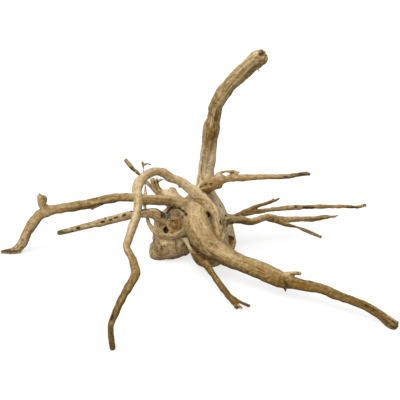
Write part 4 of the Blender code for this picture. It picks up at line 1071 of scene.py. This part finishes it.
# %% Helpers for nodes
def add_node(tree, kind, inputs=None, **settings):
    """Adds a shader node, gives it settings, and gives its inputs numbers or links."""
    node = tree.nodes.new("ShaderNode" + kind)
    for name, value in settings.items():
        setattr(node, name, value)
    for key, value in (inputs or {}).items():
        if isinstance(value, bpy.types.NodeSocket):
            tree.links.new(value, node.inputs[key])
        else:
            node.inputs[key].default_value = value
    return node


def calculate(tree, operation, a, b):
    return add_node(tree, "Math", {0: a, 1: b}, operation=operation).outputs[0]


def multiply(tree, a, b):
    return calculate(tree, "MULTIPLY", a, b)


def blend_values(tree, share, a, b):
    return add_node(tree, "Mix", {0: share, 2: a, 3: b}, data_type="FLOAT").outputs[0]


def blend_colours(tree, share, a, b):
    return add_node(tree, "Mix", {0: share, 6: a, 7: b}, data_type="RGBA").outputs[2]


def between(tree, value, low, high):
    """0 below low, 1 above high, and smooth between them."""
    inputs = {"Value": value, "From Min": low, "From Max": high}
    return add_node(tree, "MapRange", inputs, interpolation_type="SMOOTHSTEP").outputs[0]


def mottled(tree, place, scale, detail=2.0, roughness=0.5):
    """Noise that is alike in every direction."""
    inputs = {"Vector": place, "Scale": scale, "Detail": detail, "Roughness": roughness}
    return add_node(tree, "TexNoise", inputs).outputs[0]


# %% A node group for streaks
streaks = bpy.data.node_groups.new("streaks", "ShaderNodeTree")
for name, kind in (
    ("Grain", "NodeSocketVector"),
    ("Clear", "NodeSocketFloat"),
    ("Across", "NodeSocketFloat"),
    ("Along", "NodeSocketFloat"),
):
    streaks.interface.new_socket(name, in_out="INPUT", socket_type=kind)
streaks.interface.new_socket("Streak", in_out="OUTPUT", socket_type="NodeSocketFloat")
given = streaks.nodes.new("NodeGroupInput").outputs
given_out = streaks.nodes.new("NodeGroupOutput").inputs
waves = add_node(streaks, "CombineXYZ", {0: given["Across"], 1: given["Across"], 2: given["Along"]})
factors = {0: given["Grain"], 1: waves.outputs[0]}
on_grain = add_node(streaks, "VectorMath", factors, operation="MULTIPLY").outputs[0]
drawn = mottled(streaks, on_grain, 1, 3, 0.6)
coordinates = add_node(streaks, "TexCoord").outputs["Object"]
even = mottled(streaks, coordinates, multiply(streaks, given["Across"], 0.5), 3)
streaks.links.new(blend_values(streaks, given["Clear"], even, drawn), given_out["Streak"])
print("node group:", streaks.name, [item.name for item in streaks.interface.items_tree])

# %% [markdown]
# ## The wood's colours
# Bleached moor wood is straw-coloured and nearly white on its crests, with brown streaks along the grain.
# Hollows are darkened brown as painted shade, old wounds are reddish, and some hollows are grey, partly as
# painted shade. The colours are mixed in that order, from the figure of the wood outwards to what lies on it.

# %% The wood's material and what it reads
PALE = (0.60, 0.475, 0.285, 1)
STRAW = (0.37, 0.264, 0.13, 1)
TAN = (0.222, 0.143, 0.05, 1)
BROWN = (0.110, 0.060, 0.011, 1)
RUST = (0.185, 0.088, 0.014, 1)
GREY = (0.110, 0.088, 0.076, 1)
BLACK = (0.018, 0.012, 0.008, 1)

skin_look = bpy.data.materials.new("weathered_moor_wood")
skin_look.use_nodes = True
tree = skin_look.node_tree
shader = tree.nodes["Principled BSDF"]


def read_attribute(name):
    return add_node(tree, "Attribute", attribute_name=name).outputs["Vector"]


def separate(vector):
    return add_node(tree, "SeparateXYZ", {0: vector}).outputs


grain_vector = read_attribute("grain")
clear, rugged = separate(read_attribute("clear"))[:2]
small, large, tone = separate(read_attribute("form"))
dark, rust, grey = separate(read_attribute("stains_and_shade"))
object_place = add_node(tree, "TexCoord").outputs["Object"]
print(len(tree.nodes), "nodes to start with")

# %% The wood's figure
# (waves per metre across, along, weight in the figure) of the broad, narrow and fine streaks
STREAKS = ((110, 9, 0.38), (340, 20, 0.38), (1100, 60, 0.3))
MOTTLE_WEIGHT = 0.3
TONE_STEP = 0.06  # how much one step of a limb's tone adds to the figure
FIGURE_RANGE = (-0.12, 0.10)  # from the brown end of the ramp to its pale end
RAMP_STOPS = ((0.22, TAN), (0.55, STRAW))
CALM_CONTRAST = 0.35  # what is left of the streaks' contrast where the wood isn't rugged at all


def streak(across, along):
    node = add_node(tree, "Group", node_tree=streaks)
    tree.links.new(grain_vector, node.inputs["Grain"])
    tree.links.new(clear, node.inputs["Clear"])
    node.inputs["Across"].default_value = across
    node.inputs["Along"].default_value = along
    return node.outputs["Streak"]


def swing(pattern, weight):
    """A pattern as a push to either side of nothing."""
    return multiply(tree, calculate(tree, "SUBTRACT", pattern, 0.5), weight)


contrast = blend_values(tree, rugged, CALM_CONTRAST, 1)
figure = multiply(tree, tone, TONE_STEP)
patterns = []
for across, along, weight in STREAKS:
    patterns.append(streak(across, along))
    figure = calculate(tree, "ADD", figure, multiply(tree, swing(patterns[-1], weight), contrast))
narrow, fibres = patterns[1:]
mottle = mottled(tree, object_place, 230, 5, 0.7)
figure = calculate(tree, "ADD", figure, swing(mottle, MOTTLE_WEIGHT))
low, high = FIGURE_RANGE
figure = add_node(tree, "MapRange", {"Value": figure, "From Min": low, "From Max": high}).outputs[0]
ramp = add_node(tree, "ValToRGB", {0: figure})
ramp.color_ramp.elements[0].color = BROWN
ramp.color_ramp.elements[1].color = PALE
for position, stop in RAMP_STOPS:
    ramp.color_ramp.elements.new(position).color = stop
colour = ramp.outputs[0]
print(len(patterns), "sizes of streak, and a ramp of", len(ramp.color_ramp.elements), "colours")

# %% Wear, and painted shade in hollows and furrows
# The crests are rubbed pale. The furrows and the deep hollows are darkened brown as painted shade, most where
# limbs meet.
crest = multiply(tree, between(tree, small, 0.08, 0.3), 0.3)
painted_furrow_shade = multiply(tree, between(tree, small, -0.08, -0.35), 0.6)
painted_hollow_shade = multiply(tree, between(tree, large, 0.1, 1.6), blend_values(tree, clear, 0.4, 0.12))
blotch = multiply(tree, between(tree, mottled(tree, object_place, 26, 4), 0.52, 0.70), 0.3)
layers = ((crest, PALE), (painted_furrow_shade, BROWN), (painted_hollow_shade, BROWN), (blotch, TAN))
for amount, tint in layers:
    colour = blend_colours(tree, amount, colour, tint)
print(len(layers), "layers of wear and dirt")

# %% [markdown]
# ## Stains, and painted shade
# Rain and mould leave rusty, grey and nearly black stains, in old wounds above all. A few marks lay painted
# shade in the same colours, in gaps and hollows that lie in shadow. They could be painted on an image, but
# the marks and the tables already say where they lie, so their strength is read from the skin. Fine noise
# eats into their edges, because wood soaks a stain up unevenly.

# %% Stains and painted shade
STAIN_AND_SHADE_COLOURS = ((RUST, 0.85), (GREY, 0.9), (BLACK, 0.92))  # and how fully each covers the wood at most
STAIN_RAGGED = 1.6  # how strongly the noise eats into an edge

ragged = swing(mottled(tree, object_place, 260, 5, 0.65), STAIN_RAGGED)
for stain_and_shade, (stain_colour, strength) in zip((rust, grey, dark), STAIN_AND_SHADE_COLOURS):
    laid = calculate(tree, "ADD", stain_and_shade, multiply(tree, ragged, between(tree, stain_and_shade, 0, 0.3)))
    laid = multiply(tree, between(tree, laid, -0.02, 0.9), strength)
    colour = blend_colours(tree, laid, colour, stain_colour)
tree.links.new(colour, shader.inputs["Base Color"])
print(len(STAIN_AND_SHADE_COLOURS), "stains_and_shade")

# %% [markdown]
# ## Sheen and fibres
# Bare wood is matt, and a little smoother along its hard fibres. The finest fibres are too small for the
# mesh, so they are left to bump, which only turns the light. They follow the same streaks as the colour.

# %% Sheen and fibres
BUMP_HEIGHT = 0.6 * MM
CALM_BUMP = 0.3  # what is left of the bump where the wood isn't rugged at all

shine = {"Value": fibres, "From Min": 0.3, "From Max": 0.7, "To Min": 0.82, "To Max": 0.62}
tree.links.new(add_node(tree, "MapRange", shine).outputs[0], shader.inputs["Roughness"])
shader.inputs["Specular IOR Level"].default_value = 0.12

rise = calculate(tree, "ADD", multiply(tree, fibres, 0.6), multiply(tree, narrow, 0.4))
rise = multiply(tree, rise, blend_values(tree, rugged, CALM_BUMP, 1))
bump = add_node(tree, "Bump", {"Height": rise, "Strength": 0.6, "Distance": BUMP_HEIGHT})
tree.links.new(bump.outputs[0], shader.inputs["Normal"])
wood.data.materials.clear()
wood.data.materials.append(skin_look)
print(len(tree.nodes), "nodes in the wood's material")

# %% [markdown]
# ## The studio
# A pale floor and a white surround give the photograph's plain background. A large soft light from the
# upper left brings out the relief, and the surround fills the shadows.

# %% Floor and lights
FLOOR_HALF = 20  # metres
FLOOR_DROP = 0.3 * MM  # keeps the floor clear of the flat underside
FLOOR_GREY = 0.3
FLOOR_GLOW, FLOOR_GLOW_SEEN = 0.24, 0.46  # the second is added where the camera sees the floor itself
SUN_STRENGTH, SUN_WIDTH = 3.5, math.radians(50)
SUN_FROM = Vector((-0.35, -0.7, 0.95))
SURROUND = 0.5

bm = bmesh.new()
bmesh.ops.create_grid(bm, x_segments=1, y_segments=1, size=FLOOR_HALF)
floor = mesh_object("floor", bm)
floor.data.transform(Matrix.Translation((0, 0, -FLOOR_DROP)))
paint = bpy.data.materials.new("floor_paint")
paint.use_nodes = True
floor_shader = paint.node_tree.nodes["Principled BSDF"]
floor_shader.inputs["Base Color"].default_value = (FLOOR_GREY, FLOOR_GREY, FLOOR_GREY, 1)
floor_shader.inputs["Roughness"].default_value = 0.9
floor_shader.inputs["Emission Color"].default_value = (1, 1, 1, 1)
seen = add_node(paint.node_tree, "LightPath").outputs["Is Camera Ray"]
glow = calculate(paint.node_tree, "ADD", multiply(paint.node_tree, seen, FLOOR_GLOW_SEEN), FLOOR_GLOW)
paint.node_tree.links.new(glow, floor_shader.inputs["Emission Strength"])
floor.data.materials.append(paint)

sun = bpy.data.objects.new("soft_sun", bpy.data.lights.new("soft_sun", "SUN"))
sun.data.energy = SUN_STRENGTH
sun.data.angle = SUN_WIDTH
sun.rotation_euler = SUN_FROM.to_track_quat("Z", "Y").to_euler()
bpy.context.collection.objects.link(sun)
world = bpy.data.worlds.new("surround")
world.use_nodes = True
world.node_tree.nodes["Background"].inputs["Color"].default_value = (1, 1, 1, 1)
world.node_tree.nodes["Background"].inputs["Strength"].default_value = SURROUND
bpy.context.scene.world = world
bpy.context.scene.view_settings.view_transform = "Standard"
print("floor of", 2 * FLOOR_HALF, "m, a sun of", SUN_STRENGTH, "and a surround of", SURROUND)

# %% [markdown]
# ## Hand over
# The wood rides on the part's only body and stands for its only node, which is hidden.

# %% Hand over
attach(wood, "root")
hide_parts("moor_wood_root")
